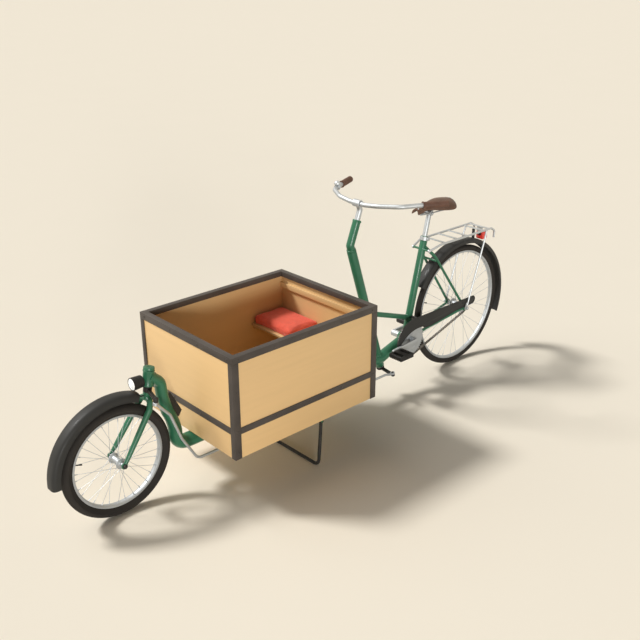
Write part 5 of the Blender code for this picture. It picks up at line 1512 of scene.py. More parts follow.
@dataclass
class SteeringLink:
    """The rear steering arm and the long rod under the box."""

    front_eye: Vector
    clamp_radius: float = 0.021
    arm_length: float = 0.122
    arm_sweep: float = radians(12)
    arm_rise: float = 0.0152
    arm_radius: float = 0.005
    arm_half: float = 0.0085
    rod_radius: float = 0.006
    rod_height: float = 0.185
    eye_radius: float = 0.0115

    def arm_centre(self) -> Vector:
        """Centre of the rear arm's clamp."""
        return LAYOUT.column(LAYOUT.column_foot) - LAYOUT.column_axis() * 0.0126

    def boss_centre(self) -> Vector:
        """Centre of the boss at the rear arm's end."""
        axis = LAYOUT.column_axis()
        return LAYOUT.arm_end(self.arm_centre(), axis, self.arm_length, self.arm_sweep) + axis * self.arm_rise

    def arm(self) -> None:
        """The cranked rear arm with clamp, boss, pin and button."""
        axis = LAYOUT.column_axis()
        hinge = LAYOUT.rod_hinge()
        centre = self.arm_centre()
        boss = self.boss_centre()
        out = (LAYOUT.arm_end(centre, axis, self.arm_length, self.arm_sweep) - centre).normalized()
        clamp = collar("clamp", centre, axis, STEERER_BORE, self.clamp_radius, 0.006, 0.001)
        foot = centre + out * 0.012
        along = boss - hinge * 0.0015 - foot
        bar_flat = block("bar", Vector((-self.arm_half, -self.arm_radius, 0)),
                         Vector((self.arm_half, self.arm_radius, along.length)), 0.0012)
        heading = along.normalized()
        upward = (axis - heading * axis.dot(heading)).normalized()
        turn = Matrix((upward.cross(heading), upward, heading)).transposed().to_4x4()
        bar_flat.data.transform(Matrix.Translation(foot) @ turn)
        eye_top = boss + hinge * 0.0156
        parts = [clamp, bar_flat,
                 bar("knob", boss - hinge * 0.005, boss + hinge * 0.005, 0.0095, 28, 0.0010),
                 bar("pin", boss, eye_top + hinge * 0.001, 0.005, 20, 0.0004),
                 lathe("button", [(0, 0), (0.0072, 0), (0.0072, 0.0014), (0.0050, 0.0028), (0, 0.0032)],
                       eye_top, hinge, 24)]
        dress(joined("rear_steering_arm", parts), FINISH.black, "column", "black_steel", "rear_arm")

    def rod(self) -> None:
        """The rod with an eye at each end."""
        hinge = LAYOUT.rod_hinge()
        axis = LAYOUT.head_axis()
        rear = self.boss_centre() + hinge * 0.0103
        level = hinge.cross(SIDE).normalized() * -0.011
        corners = [rear + level, Vector((rear.x + 0.055, 0.119, self.rod_height)),
                   at(1.872, 0.118, self.rod_height), at(1.944, 0.117, 0.310), at(1.990, 0.1155, 0.440),
                   self.front_eye - Vector((0.006, 0, 0.006))]
        parts = [pipe("rod", rounded(corners, 0.045, 10), self.rod_radius, 24)]
        for centre, way, half, bore in ((rear, hinge, 0.005, 0.0053), (self.front_eye, axis, 0.007, 0.0063)):
            parts.append(collar("eye", centre, way, bore, self.eye_radius, half, 0.0009, 28))
        dress(joined("steering_push_rod", parts), FINISH.silver, "link_rod", "silver", "steering_rod")

    def build(self) -> None:
        """Make arm and rod."""
        self.arm()
        self.rod()


@dataclass
class Cockpit:
    """Riser, stem, handlebar, grips and bell."""

    riser_radius: float = 0.020
    riser_top: tuple[float, float, float] = (0.806, 0, 1.005)
    stem_radius: float = 0.0136
    stem_depth: float = 0.060
    clamp: tuple[float, float, float] = (0.805, 0, 1.088)
    clamp_radius: float = 0.018
    bar_radius: float = 0.011
    grip_radius: float = 0.016
    grip_length: float = 0.128
    grip_ribs: int = 22
    bell_radius: float = 0.017

    def riser(self) -> Vector:
        """The bent green tube above the column.

        Returns:
            The direction in which the stem comes out of it.
        """
        axis = LAYOUT.column_axis()
        foot = LAYOUT.column(LAYOUT.column_foot) - axis * 0.0206
        start = LAYOUT.column(LAYOUT.column_top) + axis * 0.0066
        top = at(*self.riser_top)
        bend = start + axis * 0.024
        way = (top - bend).normalized()
        steerer = bar("steerer", foot, start + axis * 0.01, 0.0125, 28, 0.0005)
        riser = pipe("riser", rounded([start, bend, top], 0.014, 8), self.riser_radius, 36)
        lip = lathe("lip", [(0.0140, -0.010), (0.0206, -0.010), (0.0210, -0.0094), (0.0210, -0.0006),
                            (0.0204, 0.0004), (0.0140, 0.0004)], top, way, 36, closed=True)
        ear = block("ear", Vector((-0.026, -0.005, -0.009)), Vector((-0.019, 0.005, -0.002)), 0.0012)
        ear.data.transform(aimed(top, way))
        skirt = lathe("skirt", [(0.0190, 0.0004), (0.0202, 0.0004), (0.0202, -0.0056), (0.0224, -0.0056),
                                (0.0230, -0.0050), (0.0230, 0.0020), (0.0222, 0.0036), (0.0190, 0.0050)],
                      start, axis, 40, closed=True)
        column = joined("column_riser", [steerer, riser, skirt, lip, ear])
        dress(column, FINISH.green, "column", "green_paint",
              "steering_column")
        return way

    def stem(self, way: Vector) -> None:
        """The silver quill and the clamp round the bar, with its bolts.

        Args:
            way: Direction of the quill.
        """
        top = at(*self.riser_top)
        clamp = at(*self.clamp)
        path = rounded([top - way * self.stem_depth, top + way * 0.056, clamp], 0.03, 10)
        ring = collar("ring", clamp, SIDE, 0.0118, self.clamp_radius, 0.0225, 0.0012, 40)
        parts = [pipe("quill", path, self.stem_radius, 32), ring]
        for hand in Hand:
            spot = clamp + Vector((0.0165, hand.value * 0.013, 0.004))
            parts.append(head_of_bolt(spot, Vector((1, 0, 0.25)).normalized(), 0.0042, 0.0026))
        dress(joined("stem_and_clamp", parts), FINISH.silver, "bar_stem", "silver", "stem")

    def corners(self) -> list[Vector]:
        """Left half of the bar's bends."""
        return [at(*self.clamp) + SIDE * 0.048, at(0.800, 0.125, 1.096), at(0.745, 0.222, 1.102),
                at(0.664, 0.264, 1.103), at(0.537, 0.324, 1.100)]

    def handlebar(self) -> None:
        """The swept handlebar."""
        left = self.corners()
        path = rounded(list(reversed(mirrored(left))) + left, 0.07, 10)
        dress(pipe("swept_bar", path, self.bar_radius, 28), FINISH.silver, "bar_stem", "silver", "handlebar")

    def grips(self) -> None:
        """Two ribbed grips with end flanges."""
        left = self.corners()
        out = (left[-1] - left[-2]).normalized()
        long = self.grip_length
        r = self.grip_radius
        start = left[-1] - out * (long - 0.0043)
        profile = [(self.bar_radius + 0.0004, 0), (r * 1.12, 0), (r * 1.14, 0.002), (r * 1.08, 0.005),
                   (r * 0.94, 0.007)]
        first, last = 0.010, long - 0.012
        for i in range(self.grip_ribs):
            spot = first + (last - first) * i / (self.grip_ribs - 1)
            palm = 1 + 0.035 * sin(pi * (spot - first) / (last - first))
            profile += [(r * 0.955 * palm, spot - 0.0012), (r * palm, spot), (r * palm, spot + 0.0016),
                        (r * 0.955 * palm, spot + 0.0024)]
        profile += [(r * 1.04, long - 0.006), (r * 1.02, long - 0.001), (r * 0.80, long + 0.0008),
                    (0, long + 0.001)]
        grip = lathe("grip_sleeve_left", profile, start, out, 32)
        twin = other_side(grip)
        twin.name = "grip_sleeve_right"
        dress(grip, FINISH.grip, "bar_stem", "brown_leather", "grip_left")
        dress(twin, FINISH.grip, "bar_stem", "brown_leather", "grip_right")

    def bell(self) -> None:
        """The bell: a band round the bar, a dome and its striker."""
        left = self.corners()
        before, after = mirrored(left[2:4])
        place = before.lerp(after, 0.5)
        along = (after - before).normalized()
        r = self.bell_radius
        band = lathe("band", [(0.0115, -0.004), (0.0160, -0.004), (0.0162, -0.003), (0.0162, 0.003),
                              (0.0160, 0.004), (0.0115, 0.004)], place, along, 28, closed=True)
        dome = lathe("dome", [(0, r * 0.92), (r * 0.14, r * 0.91), (r * 0.16, r * 0.86), (r * 0.5, r * 0.75),
                              (r * 0.78, r * 0.55), (r * 0.94, r * 0.28), (r, 0), (r * 0.96, -0.003),
                              (r * 0.90, -0.0032), (0, -0.0030)], place + UP * 0.0185, UP, 36)
        lever = bar("striker", place + UP * 0.0165 + along * 0.010, place + UP * 0.0170 + along * 0.026,
                    0.0022, 14)
        dress(joined("bell_set", [band, dome, lever]), FINISH.chrome, "bar_stem", "silver", "bell")

    def build(self) -> None:
        """Make everything the rider's hands hold."""
        self.stem(self.riser())
        self.handlebar()
        self.grips()
        self.bell()


@dataclass
class Fenders:
    """Both fenders, with rolled edges and their holders."""

    sheet: float = 0.0015
    front_crown: float = 0.303
    front_edge: float = 0.270
    front_half: float = 0.033
    front_from: float = radians(-1)
    front_to: float = radians(113)
    rear_crown: float = 0.388
    rear_edge: float = 0.365
    rear_half: float = 0.032
    rear_from: float = radians(30)
    rear_to: float = radians(200)
    squareness: float = 0.55

    def hoop(self, name: str, axle: Vector, crown: float, edge: float, half: float, start: float,
             end: float) -> bpy.types.Object:
        """A half-round sheet swept round a wheel, with its edges rolled.

        Args:
            name: The piece's name.
            axle: Centre of the sweep.
            crown: Radius over its crown.
            edge: Radius at its edges.
            half: Half its width.
            start: Angle where it starts.
            end: Angle where it ends.

        Returns:
            The fender's shell.
        """
        section = [(edge - 0.0022, 0.0020 - half), (edge - 0.0024, -half - 0.0004),
                   (edge - 0.0006, -half - 0.0010)]
        for i in range(21):
            turn = pi * i / 20
            flat = abs(cos(turn)) ** self.squareness * (1 if turn < pi / 2 else -1)
            section.append((edge + (crown - edge - self.sheet) * sin(turn) ** self.squareness, -half * flat))
        section += [(r, -h) for r, h in reversed(section[:3])]
        shell = lathe(name, section, axle, SIDE, 64, end - start, toward(start))
        return applied(shell, "SOLIDIFY", thickness=self.sheet, offset=0.0)

    def front(self) -> None:
        """The front fender and the tab on the fork crown."""
        shell = self.hoop("shell", FRONT_AXLE, self.front_crown, self.front_edge, self.front_half,
                          self.front_from, self.front_to)
        angle = self.front_to - radians(1.2)
        start = FRONT_AXLE + toward(angle) * (self.front_crown - self.sheet)
        seat = LAYOUT.head(0.5038) + FORWARD * 0.0173
        corners = [start, seat + Vector((0.014, 0, 0.001)), seat + FORWARD * 0.0008]
        tab = pipe("tab", rounded(corners, 0.008, 6), 0.0035, 16)
        dress(joined("front_fender_shell", [shell, tab]), FINISH.dark_fender, "front_fork", "fender_paint",
              "front_fender")

    def rear(self, stay: Vector) -> None:
        """The rear fender, its strap to the rack and its peg to the bridge.

        Args:
            stay: Direction of the seat stay in the wheel's plane.
        """
        shell = self.hoop("shell", REAR_AXLE, self.rear_crown, self.rear_edge, self.rear_half, self.rear_from,
                          self.rear_to)
        height = (self.rear_crown ** 2 - RACK_STRAP_X ** 2) ** 0.5
        strap = block("strap", at(RACK_STRAP_X - 0.006, -0.006, REAR_RADIUS + height - 0.004),
                      at(RACK_STRAP_X + 0.006, 0.006, RACK_HEIGHT - 0.0048), 0.0010)
        foot = REAR_AXLE + stay * (self.rear_crown - 0.003)
        peg = bar("peg", foot, REAR_AXLE + stay * (BRIDGE_RADIUS - 0.0063), 0.006, 20, 0.0006)
        fender = joined("rear_fender_shell", [shell, strap, peg])
        dress(fender, FINISH.dark_fender, "bike_frame", "fender_paint", "rear_fender")


@dataclass
class CargoBox:
    """Plywood panels and floor in a dark steel frame, with the bench and the ledge behind it."""

    rear: float = 1.002
    front: float = 1.830
    half: float = 0.334
    foot: float = BOX_FOOT
    top: float = 0.718
    steel: float = 0.003
    ply: float = 0.012
    post_x: float = 0.034
    post_y: float = 0.027
    rim_height: float = 0.030
    rim_width: float = 0.028
    lip_height: float = 0.026
    rail_low: float = 0.366
    rail_high: float = 0.396
    bench_depth: float = 0.200
    bench_top: float = 0.488
    batten: float = 0.018
    ledge_low: float = 0.634
    ledge_high: float = 0.661
    ledge_depth: float = 0.012
    bolt_radius: float = 0.0052

    def panels(self) -> None:
        """Four walls and the floor, each with eased edges."""
        inset = self.steel + HAIR
        rear, front, side = self.rear + inset, self.front - inset, self.half - inset
        top = self.top - self.steel - HAIR
        inner = side - self.ply - HAIR
        rows = (("left", at(rear, side - self.ply, self.foot), at(front, side, top), FINISH.along),
                ("right", at(rear, -side, self.foot), at(front, self.ply - side, top), FINISH.along),
                ("front", at(front - self.ply, -inner, self.foot), at(front, inner, top), FINISH.across),
                ("rear", at(rear, -inner, self.foot), at(rear + self.ply, inner, top), FINISH.across))
        for name, low, high, finish in rows:
            wall = block(f"{name}_wall", low, high, 0.0006)
            dress(wall, finish, "bike_frame", "plywood", f"box_panel_{name}")
        in_rear, in_front = rear + self.ply + HAIR, front - self.ply - HAIR
        low, high = at(in_rear, -inner, self.foot), at(in_front, inner, self.foot + self.ply)
        floor = block("floor_sheet", low, high, 0.0006)
        dress(floor, FINISH.along, "bike_frame", "plywood", "box_floor")

    def bench(self) -> None:
        """The bench board on its battens, with screws, and the ledge on the rear wall."""
        in_rear = self.rear + self.steel + self.ply + 2 * HAIR
        inner = self.half - self.steel - self.ply - 2 * HAIR
        end = in_rear + self.bench_depth
        under = self.bench_top - self.ply
        parts = [block("board", at(in_rear, -inner, under), at(end, inner, self.bench_top), 0.0012)]
        for hand in Hand:
            low = at(in_rear + 0.001, hand.value * inner, under - self.batten)
            high = at(end - 0.010, hand.value * (inner - self.batten), under + 0.001)
            parts.append(block("batten", low, high, 0.0010))
        dress(joined("bench_with_battens", parts), FINISH.board, "bike_frame", "plywood", "bench_board")
        ledge = block("ledge_strip", at(in_rear, -inner, self.ledge_low),
                      at(in_rear + self.ledge_depth, inner, self.ledge_high), 0.0012)
        dress(ledge, FINISH.across, "bike_frame", "plywood", "backrest_ledge")
        screws = [head_of_bolt(at(end - 0.024, y, self.bench_top), UP, 0.0040, 0.0012)
                  for y in (0.30, 0.10, 0.0, 0.20)]
        dress(joined("bench_screws", screws), FINISH.chrome, "bike_frame", "silver")

    def rim(self) -> None:
        """The angle steel round the top: a cube opened, inset and given its wall."""
        deselect()
        low = at(self.rear, -self.half, self.top - self.rim_height)
        high = at(self.front, self.half, self.top)
        size = high - low
        bpy.ops.mesh.primitive_cube_add(size=1, location=(low + high) / 2, scale=size)
        angle = open_new()
        choose(angle, "faces", lambda face: face.normal.z < -0.5)
        bpy.ops.mesh.delete(type="FACE")
        choose(angle, "faces", lambda face: face.normal.z > 0.5)
        bpy.ops.mesh.inset(thickness=self.rim_width)
        bpy.ops.mesh.extrude_region_move(TRANSFORM_OT_translate={"value": UP * -self.lip_height})
        bpy.ops.mesh.delete(type="FACE")
        bpy.ops.object.mode_set(mode="OBJECT")
        applied(angle, "SOLIDIFY", thickness=self.steel, offset=-1.0, use_even_offset=True)
        applied(angle, "BEVEL", width=0.0008, segments=2, limit_method="ANGLE")
        angle.name = "top_angle"
        dress(angle, FINISH.steel, "bike_frame", "black_steel", "box_top_rim")

    def posts(self) -> None:
        """Four corner angles."""
        tall = UP * (self.top - self.rim_height - HAIR - self.foot)
        for along, x, inward in (("front", self.front, -1), ("rear", self.rear, 1)):
            for hand in Hand:
                side = hand.value
                y = side * self.half
                outline = [at(x, y, self.foot), at(x + inward * self.post_x, y, self.foot),
                           at(x + inward * self.post_x, y - side * self.steel, self.foot),
                           at(x + inward * self.steel, y - side * self.steel, self.foot),
                           at(x + inward * self.steel, y - side * self.post_y, self.foot),
                           at(x, y - side * self.post_y, self.foot)]
                name = f"{along}_{hand.name.lower()}"
                post = plate(f"{name}_corner", outline, tall, 0.0007)
                dress(post, FINISH.steel, "bike_frame", "black_steel", f"box_post_{name}")

    def rails(self) -> None:
        """Flat straps at mid height on the front and both sides."""
        for hand in Hand:
            y = hand.value * self.half
            inner = y - hand.value * self.steel
            strap = block(f"{hand.name.lower()}_strap", at(self.rear + self.post_x + HAIR, y, self.rail_low),
                          at(self.front - self.post_x - HAIR, inner, self.rail_high), 0.0007)
            dress(strap, FINISH.steel, "bike_frame", "black_steel", f"box_mid_rail_{hand.name.lower()}")
        reach = self.half - self.post_y - HAIR
        strap = block("front_strap", at(self.front - self.steel, -reach, self.rail_low),
                      at(self.front, reach, self.rail_high), 0.0007)
        dress(strap, FINISH.steel, "bike_frame", "black_steel", "box_mid_rail_front")

    def bolts(self) -> None:
        """Domed bolt heads along rim, rails and posts."""
        rim_z = self.top - self.rim_height / 2
        rail_z = (self.rail_low + self.rail_high) / 2
        spots: list[tuple[Vector, Vector]] = []
        for hand in Hand:
            out = SIDE * hand.value
            y = hand.value * self.half
            for share in (0.04, 0.27, 0.5, 0.73, 0.96):
                x = self.rear + (self.front - self.rear) * share
                spots.append((at(x, y, rim_z), out))
                if 0.1 < share < 0.9:
                    spots.append((at(x, y, rail_z), out))
            for x in (self.rear + self.post_x / 2, self.front - self.post_x / 2):
                spots += [(at(x, y, z), out) for z in (self.foot + 0.03, rail_z, 0.56)]
        for y in (-0.30, -0.10, 0.10, 0.30):
            spots.append((at(self.front, y, rim_z), FORWARD))
            spots.append((at(self.rear, y, rim_z), -FORWARD))
            if abs(y) < 0.2:
                spots.append((at(self.front, y, rail_z), FORWARD))
        model = head_of_bolt(Vector((0, 0, 0)), UP, self.bolt_radius, 0.0024)
        heads = placed(model, [aimed(spot, out) for spot, out in spots])
        dress(joined("box_bolts", heads), FINISH.steel, "bike_frame", "black_steel")

    def build(self) -> None:
        """Make the box."""
        self.panels()
        self.bench()
        self.rim()
        self.posts()
        self.rails()
        self.bolts()


@dataclass
class BenchCushion:
    """The cushion on the bench: stuffed cloth with a welt round its top and its foot."""

    slack: float = 0.0020
    voxel: float = 0.0045
    corner: float = 0.020
    pressure: float = 2.5
    frames: int = 20
    cap: float = 0.006
    crown: float = 0.0065
    waist: float = 0.0045
    welt_radius: float = 0.0016
    welt_points: int = 96

    def box(self) -> tuple[Vector, Vector]:
        """The space that the CAD cushion takes."""
        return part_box("seat_cushion")

    def blank(self) -> bpy.types.Object:
        """The cut form before it is stuffed, a little smaller than the finished cushion.

        Returns:
            The form.
        """
        low, high = self.box()
        deselect()
        inset = Vector((self.slack, self.slack, 0))
        low, high = low + inset, high - inset - UP * self.slack
        bpy.ops.mesh.primitive_cube_add(size=1, location=(low + high) / 2, scale=high - low)
        form = open_new()
        bpy.ops.mesh.select_mode(type="EDGE")
        choose(form, "edges",
               lambda edge: abs(edge.verts[0].co.z - edge.verts[1].co.z) > 0.5 * edge.calc_length())
        bpy.ops.mesh.bevel(offset=self.corner, segments=6, affect="EDGES")
        bpy.ops.mesh.select_all(action="SELECT")
        soften_edges(0.006, 3)
        close_up(form, "cushion_cover")
        return applied(form, "REMESH", mode="VOXEL", voxel_size=self.voxel)

    def stuffed(self, form: bpy.types.Object) -> bpy.types.Object:
        """Blow the form up as cloth, capped so that it keeps its place.

        Args:
            form: The cut form.

        Returns:
            The stuffed form.
        """
        before = [v.co.copy() for v in form.data.vertices]
        pick(form)
        cloth = form.modifiers.new("stuffing", "CLOTH")
        cloth.settings.use_pressure = True
        cloth.settings.uniform_pressure_force = self.pressure
        cloth.settings.effector_weights.gravity = 0
        cloth.settings.tension_stiffness = 20
        cloth.settings.compression_stiffness = 20
        cloth.point_cache.frame_end = self.frames
        for moment in range(1, self.frames + 1):
            bpy.context.scene.frame_set(moment)
        bpy.ops.object.modifier_apply(modifier=cloth.name)
        bpy.context.scene.frame_set(1)
        low, high = self.box()
        for vertex, rest in zip(form.data.vertices, before):
            move = vertex.co - rest
            if move.length > self.cap:
                vertex.co = rest + move.normalized() * self.cap
            vertex.co.z = max(vertex.co.z, low.z + 0.0004)
            vertex.co.x = min(max(vertex.co.x, low.x + 0.0004), high.x + 0.003)
            vertex.co.y = min(max(vertex.co.y, low.y + 0.0004), high.y + 0.004)
        return form

    def crowned(self, cover: bpy.types.Object) -> None:
        """Raise the middle of the top and pull the sides in between the corners.

        Args:
            cover: The cover.
        """
        low, high = self.box()
        middle = (low + high) / 2
        half = (high - low) / 2
        for vertex in cover.data.vertices:
            across = max(-1.0, min(1.0, (vertex.co.x - middle.x) / half.x))
            along = max(-1.0, min(1.0, (vertex.co.y - middle.y) / half.y))
            share = (vertex.co.z - low.z) / (high.z - low.z)
            vertex.co.x -= self.waist * across ** 5 * (1 - along ** 2)
            vertex.co.y -= self.waist * along ** 5 * (1 - across ** 2)
            if share > 0.5:
                vertex.co.z += self.crown * (share - 0.5) * 2 * (1 - across ** 2) * (1 - along ** 2)

    def welts(self, cover: bpy.types.Object) -> list[bpy.types.Object]:
        """Piping along the top and bottom edges of the cover.

        Args:
            cover: The stuffed cover.

        Returns:
            The two welts.
        """
        low, high = self.box()
        tree = skin_of(cover)
        middle = (low + high) / 2
        made = []
        for height in (low.z + 0.0065, high.z - 0.0125):
            path = []
            for i in range(self.welt_points + 1):
                turn = 2 * pi * (i % self.welt_points) / self.welt_points
                way = Vector((cos(turn) * (high.x - low.x), sin(turn) * (high.y - low.y), 0))
                spot = Vector((middle.x, middle.y, height)) + way.normalized()
                hit = tree.ray_cast(spot, -way.normalized())[0]
                path.append(hit + way.normalized() * 0.0004 if hit else spot)
            for point in path:
                point.x = max(point.x, low.x + self.welt_radius)
                point.y = max(point.y, low.y + self.welt_radius)
            made.append(sweep("welt", path, [self.welt_radius] * len(path), 10, closed=True))
        return made

    def build(self) -> None:
        """Make the cushion."""
        cover = self.blank()
        cover = self.stuffed(cover)
        applied(cover, "SMOOTH", factor=0.5, iterations=12)
        self.crowned(cover)
        welts = self.welts(cover)
        applied(cover, "SUBSURF", levels=1, render_levels=1)
        dress(cover, FINISH.cushion, "bike_frame", "cushion_cloth", "seat_cushion")
        dress(joined("cushion_welts", welts), FINISH.cushion, "bike_frame", "cushion_cloth")


@dataclass
class SeatAndPost:
    """The leather saddle on its wires, the seat post and the collar on the seat tube."""

    post_point: Vector
    post_foot: Vector
    tube_top: Vector
    post_axis: Vector
    rear: float = 0.115
    length: float = 0.270
    top: float = 0.990
    half: float = 0.090
    nose_half: float = 0.025
    shell: float = 0.0060
    post_radius: float = 0.013
    wire: float = 0.0035
    stations: int = 18
    ribs: int = 12

    def station(self, along: float) -> tuple[float, float, float]:
        """Half width, arch depth and crown height of the saddle at a share of its length.

        Args:
            along: The share, from 0 at the back to 1 at the nose.

        Returns:
            The three measures.
        """
        narrowing = min(1.0, max(0.0, along - 0.18) / 0.52) ** 1.2
        opening = min(1.0, 0.50 + 0.50 * (along / 0.24) ** 0.5)
        half = self.half * opening - (self.half - self.nose_half) * narrowing
        depth = 0.034 + 0.016 * sin(pi * min(1.0, along * 1.35)) - 0.006 * along
        height = self.top + 0.001 - 0.013 * along + 0.016 * sin(pi * along)
        return half, depth, height

    def leather(self) -> None:
        """The leather top: an arched line extruded and scaled from the back to the nose."""
        half, depth, height = self.station(0.0)
        line = []
        for i in range(self.ribs + 1):
            arch = (2 * i / self.ribs - 1) * pi / 2
            line.append(at(self.rear, half * sin(arch), height - depth * (1 - cos(arch))))
        top = drawn_line(line, False)
        bpy.ops.mesh.select_mode(type="EDGE")
        bpy.ops.mesh.select_all(action="SELECT")
        for i in range(1, self.stations + 1):
            share = i / self.stations
            next_half, next_depth, next_height = self.station(share)
            step = Vector((self.length / self.stations, 0, next_height - height))
            bpy.ops.mesh.extrude_region_move(TRANSFORM_OT_translate={"value": step})
            crown = at(self.rear + self.length * share, 0, next_height)
            bpy.ops.transform.resize(value=(1, next_half / half, next_depth / depth), center_override=crown)
            half, depth, height = next_half, next_depth, next_height
        close_up(top, "leather_top")
        edit = bmesh.new()
        edit.from_mesh(top.data)
        facing = sum(face.normal.z * face.calc_area() for face in edit.faces)
        edit.free()
        if facing < 0:
            top.data.flip_normals()
        applied(top, "SOLIDIFY", thickness=self.shell, offset=-1.0)
        applied(top, "BEVEL", width=0.0016, segments=2, limit_method="ANGLE", angle_limit=radians(50))
        applied(top, "SUBSURF", levels=1, render_levels=1)
        dress(top, FINISH.saddle, "seat", "brown_leather", "saddle")
        tree = skin_of(top)
        rivets = []
        for x, y in ((0.125, -0.045), (0.122, -0.022), (0.121, 0.0), (0.122, 0.022), (0.125, 0.045),
                     (0.372, -0.010), (0.372, 0.010)):
            hit, normal = tree.ray_cast(at(x, y, self.top + 0.05), -UP)[:2]
            if hit:
                rivets.append(head_of_bolt(hit, normal, 0.0042, 0.0014))
        dress(joined("saddle_rivets", rivets), FINISH.chrome, "seat", "silver")

    def post(self) -> None:
        """The post, its clamp head with a bolt, and the two wires under the leather."""
        top = self.post_point
        parts = [bar("post", self.post_foot, top, self.post_radius, 32, 0.0008),
                 bar("clamp", top - SIDE * 0.018, top + SIDE * 0.018, 0.0135, 32, 0.0014)]
        for hand in Hand:
            side = hand.value
            parts.append(hex_nut(top + SIDE * side * 0.018, SIDE * side, 0.0075, 0.0060))
            rear_x, nose_x = self.rear + 0.045, self.rear + self.length - 0.030
            ends = []
            for x, y in ((rear_x, side * 0.024), (nose_x, side * 0.006)):
                share = (x - self.rear) / self.length
                half, depth, height = self.station(share)
                arch = asin(min(1.0, abs(y) / half))
                ends.append(at(x, y, height - depth * (1 - cos(arch)) - self.shell - 0.0012))
            corners = [ends[0], Vector((ends[0].x, ends[0].y, top.z + 0.002)),
                       Vector((top.x - 0.03, side * 0.0150, top.z)),
                       Vector((top.x + 0.01, side * 0.0140, top.z)),
                       Vector((ends[1].x, ends[1].y, top.z + 0.003)), ends[1]]
            parts.append(pipe("wire", rounded(corners, 0.010, 6), self.wire, 14))
        dress(joined("post_and_wires", parts), FINISH.silver, "seat", "silver", "seat_post")

    def collar(self) -> None:
        """The collar that pinches the seat tube, with its bolt."""
        up = self.post_axis
        centre = self.tube_top - up * 0.012
        ring = collar("ring", centre, up, 0.0193, 0.0235, 0.010, 0.0008)
        back = centre - FORWARD * 0.026
        bolt = bar("bolt", back - SIDE * 0.012, back + SIDE * 0.012, 0.0035, 18)
        lug = block("lug", Vector((-0.032, -0.008, -0.006)), Vector((-0.020, 0.008, 0.006)), 0.0012)
        lug.data.transform(aimed(centre, up))
        dress(joined("seat_collar", [ring, bolt, lug]), FINISH.silver, "bike_frame", "silver", "seat_clamp")

    def build(self) -> None:
        """Make saddle, post and collar."""
        self.leather()
        self.post()
        self.collar()


@dataclass
class Rack:
    """The silver rear rack with flat slats, hooks and legs."""

    lug: Vector
    height: float = RACK_HEIGHT
    half: float = 0.070
    front: float = 0.250
    rear: float = -0.170
    radius: float = 0.006
    slats: tuple[float, ...] = (0.210, 0.110, 0.026, RACK_STRAP_X, TAIL_SLAT_X)
    slat_half: float = 0.008
    slat_thickness: float = 0.0045
    foot_y: float = RACK_FOOT_Y
    lug_y: float = 0.050
    lamp_top: float = TAIL_LAMP_TOP

    def build(self) -> None:
        """Make the rack."""
        front = self.lug + SIDE * (self.lug_y + HAIR + self.radius + 0.0005)
        corners = [front, at(self.front, self.half, self.height),
                   at(self.rear - 0.010, self.half, self.height),
                   at(self.rear - 0.040, self.half, self.height - 0.018),
                   at(self.rear - 0.040, self.half, self.height - 0.058)]
        side = pipe("side", rounded(corners, 0.018, 8), self.radius, 24)
        leg_y = self.foot_y + 0.0045
        leg_path = rounded([at(-0.140, self.half, self.height), at(-0.125, leg_y, self.height - 0.04),
                            at(-0.010, leg_y, 0.385), at(-0.004, leg_y, 0.367)], 0.02, 6)
        leg = pipe("leg", leg_path, 0.005, 20)
        parts = [side, other_side(side), leg, other_side(leg)]
        under, over = self.height - self.slat_thickness / 2, self.height + self.slat_thickness / 2
        for x in self.slats:
            low, high = at(x - self.slat_half, -self.half, under), at(x + self.slat_half, self.half, over)
            parts.append(block("slat", low, high, 0.0012))
        for hand in Hand:
            out = SIDE * hand.value
            face = self.lug + out * (self.lug_y + 0.0083)
            parts.append(bar("eye", self.lug + out * (self.lug_y + HAIR), face, 0.0085, 24, 0.0008))
            parts.append(head_of_bolt(face, out, 0.0050, 0.0026))
            foot = arc(REAR_AXLE, 0.013, radians(180), radians(360), 16)
            foot += arc(REAR_AXLE + Vector((-0.003, 0, 0.024)), 0.008, 0, radians(180), 12)
            outline = [Vector((p.x, hand.value * self.foot_y, p.z)) for p in foot]
            parts.append(plate("foot", outline, out * 0.004, 0.0006))
        tail_x = self.slats[-1]
        parts.append(block("tab", at(tail_x - 0.016, -0.014, self.lamp_top + HAIR),
                           at(tail_x + 0.002, 0.014, self.height - 0.001), 0.0008))
        dress(joined("carrier", parts), FINISH.chrome, "bike_frame", "silver", "rear_rack")


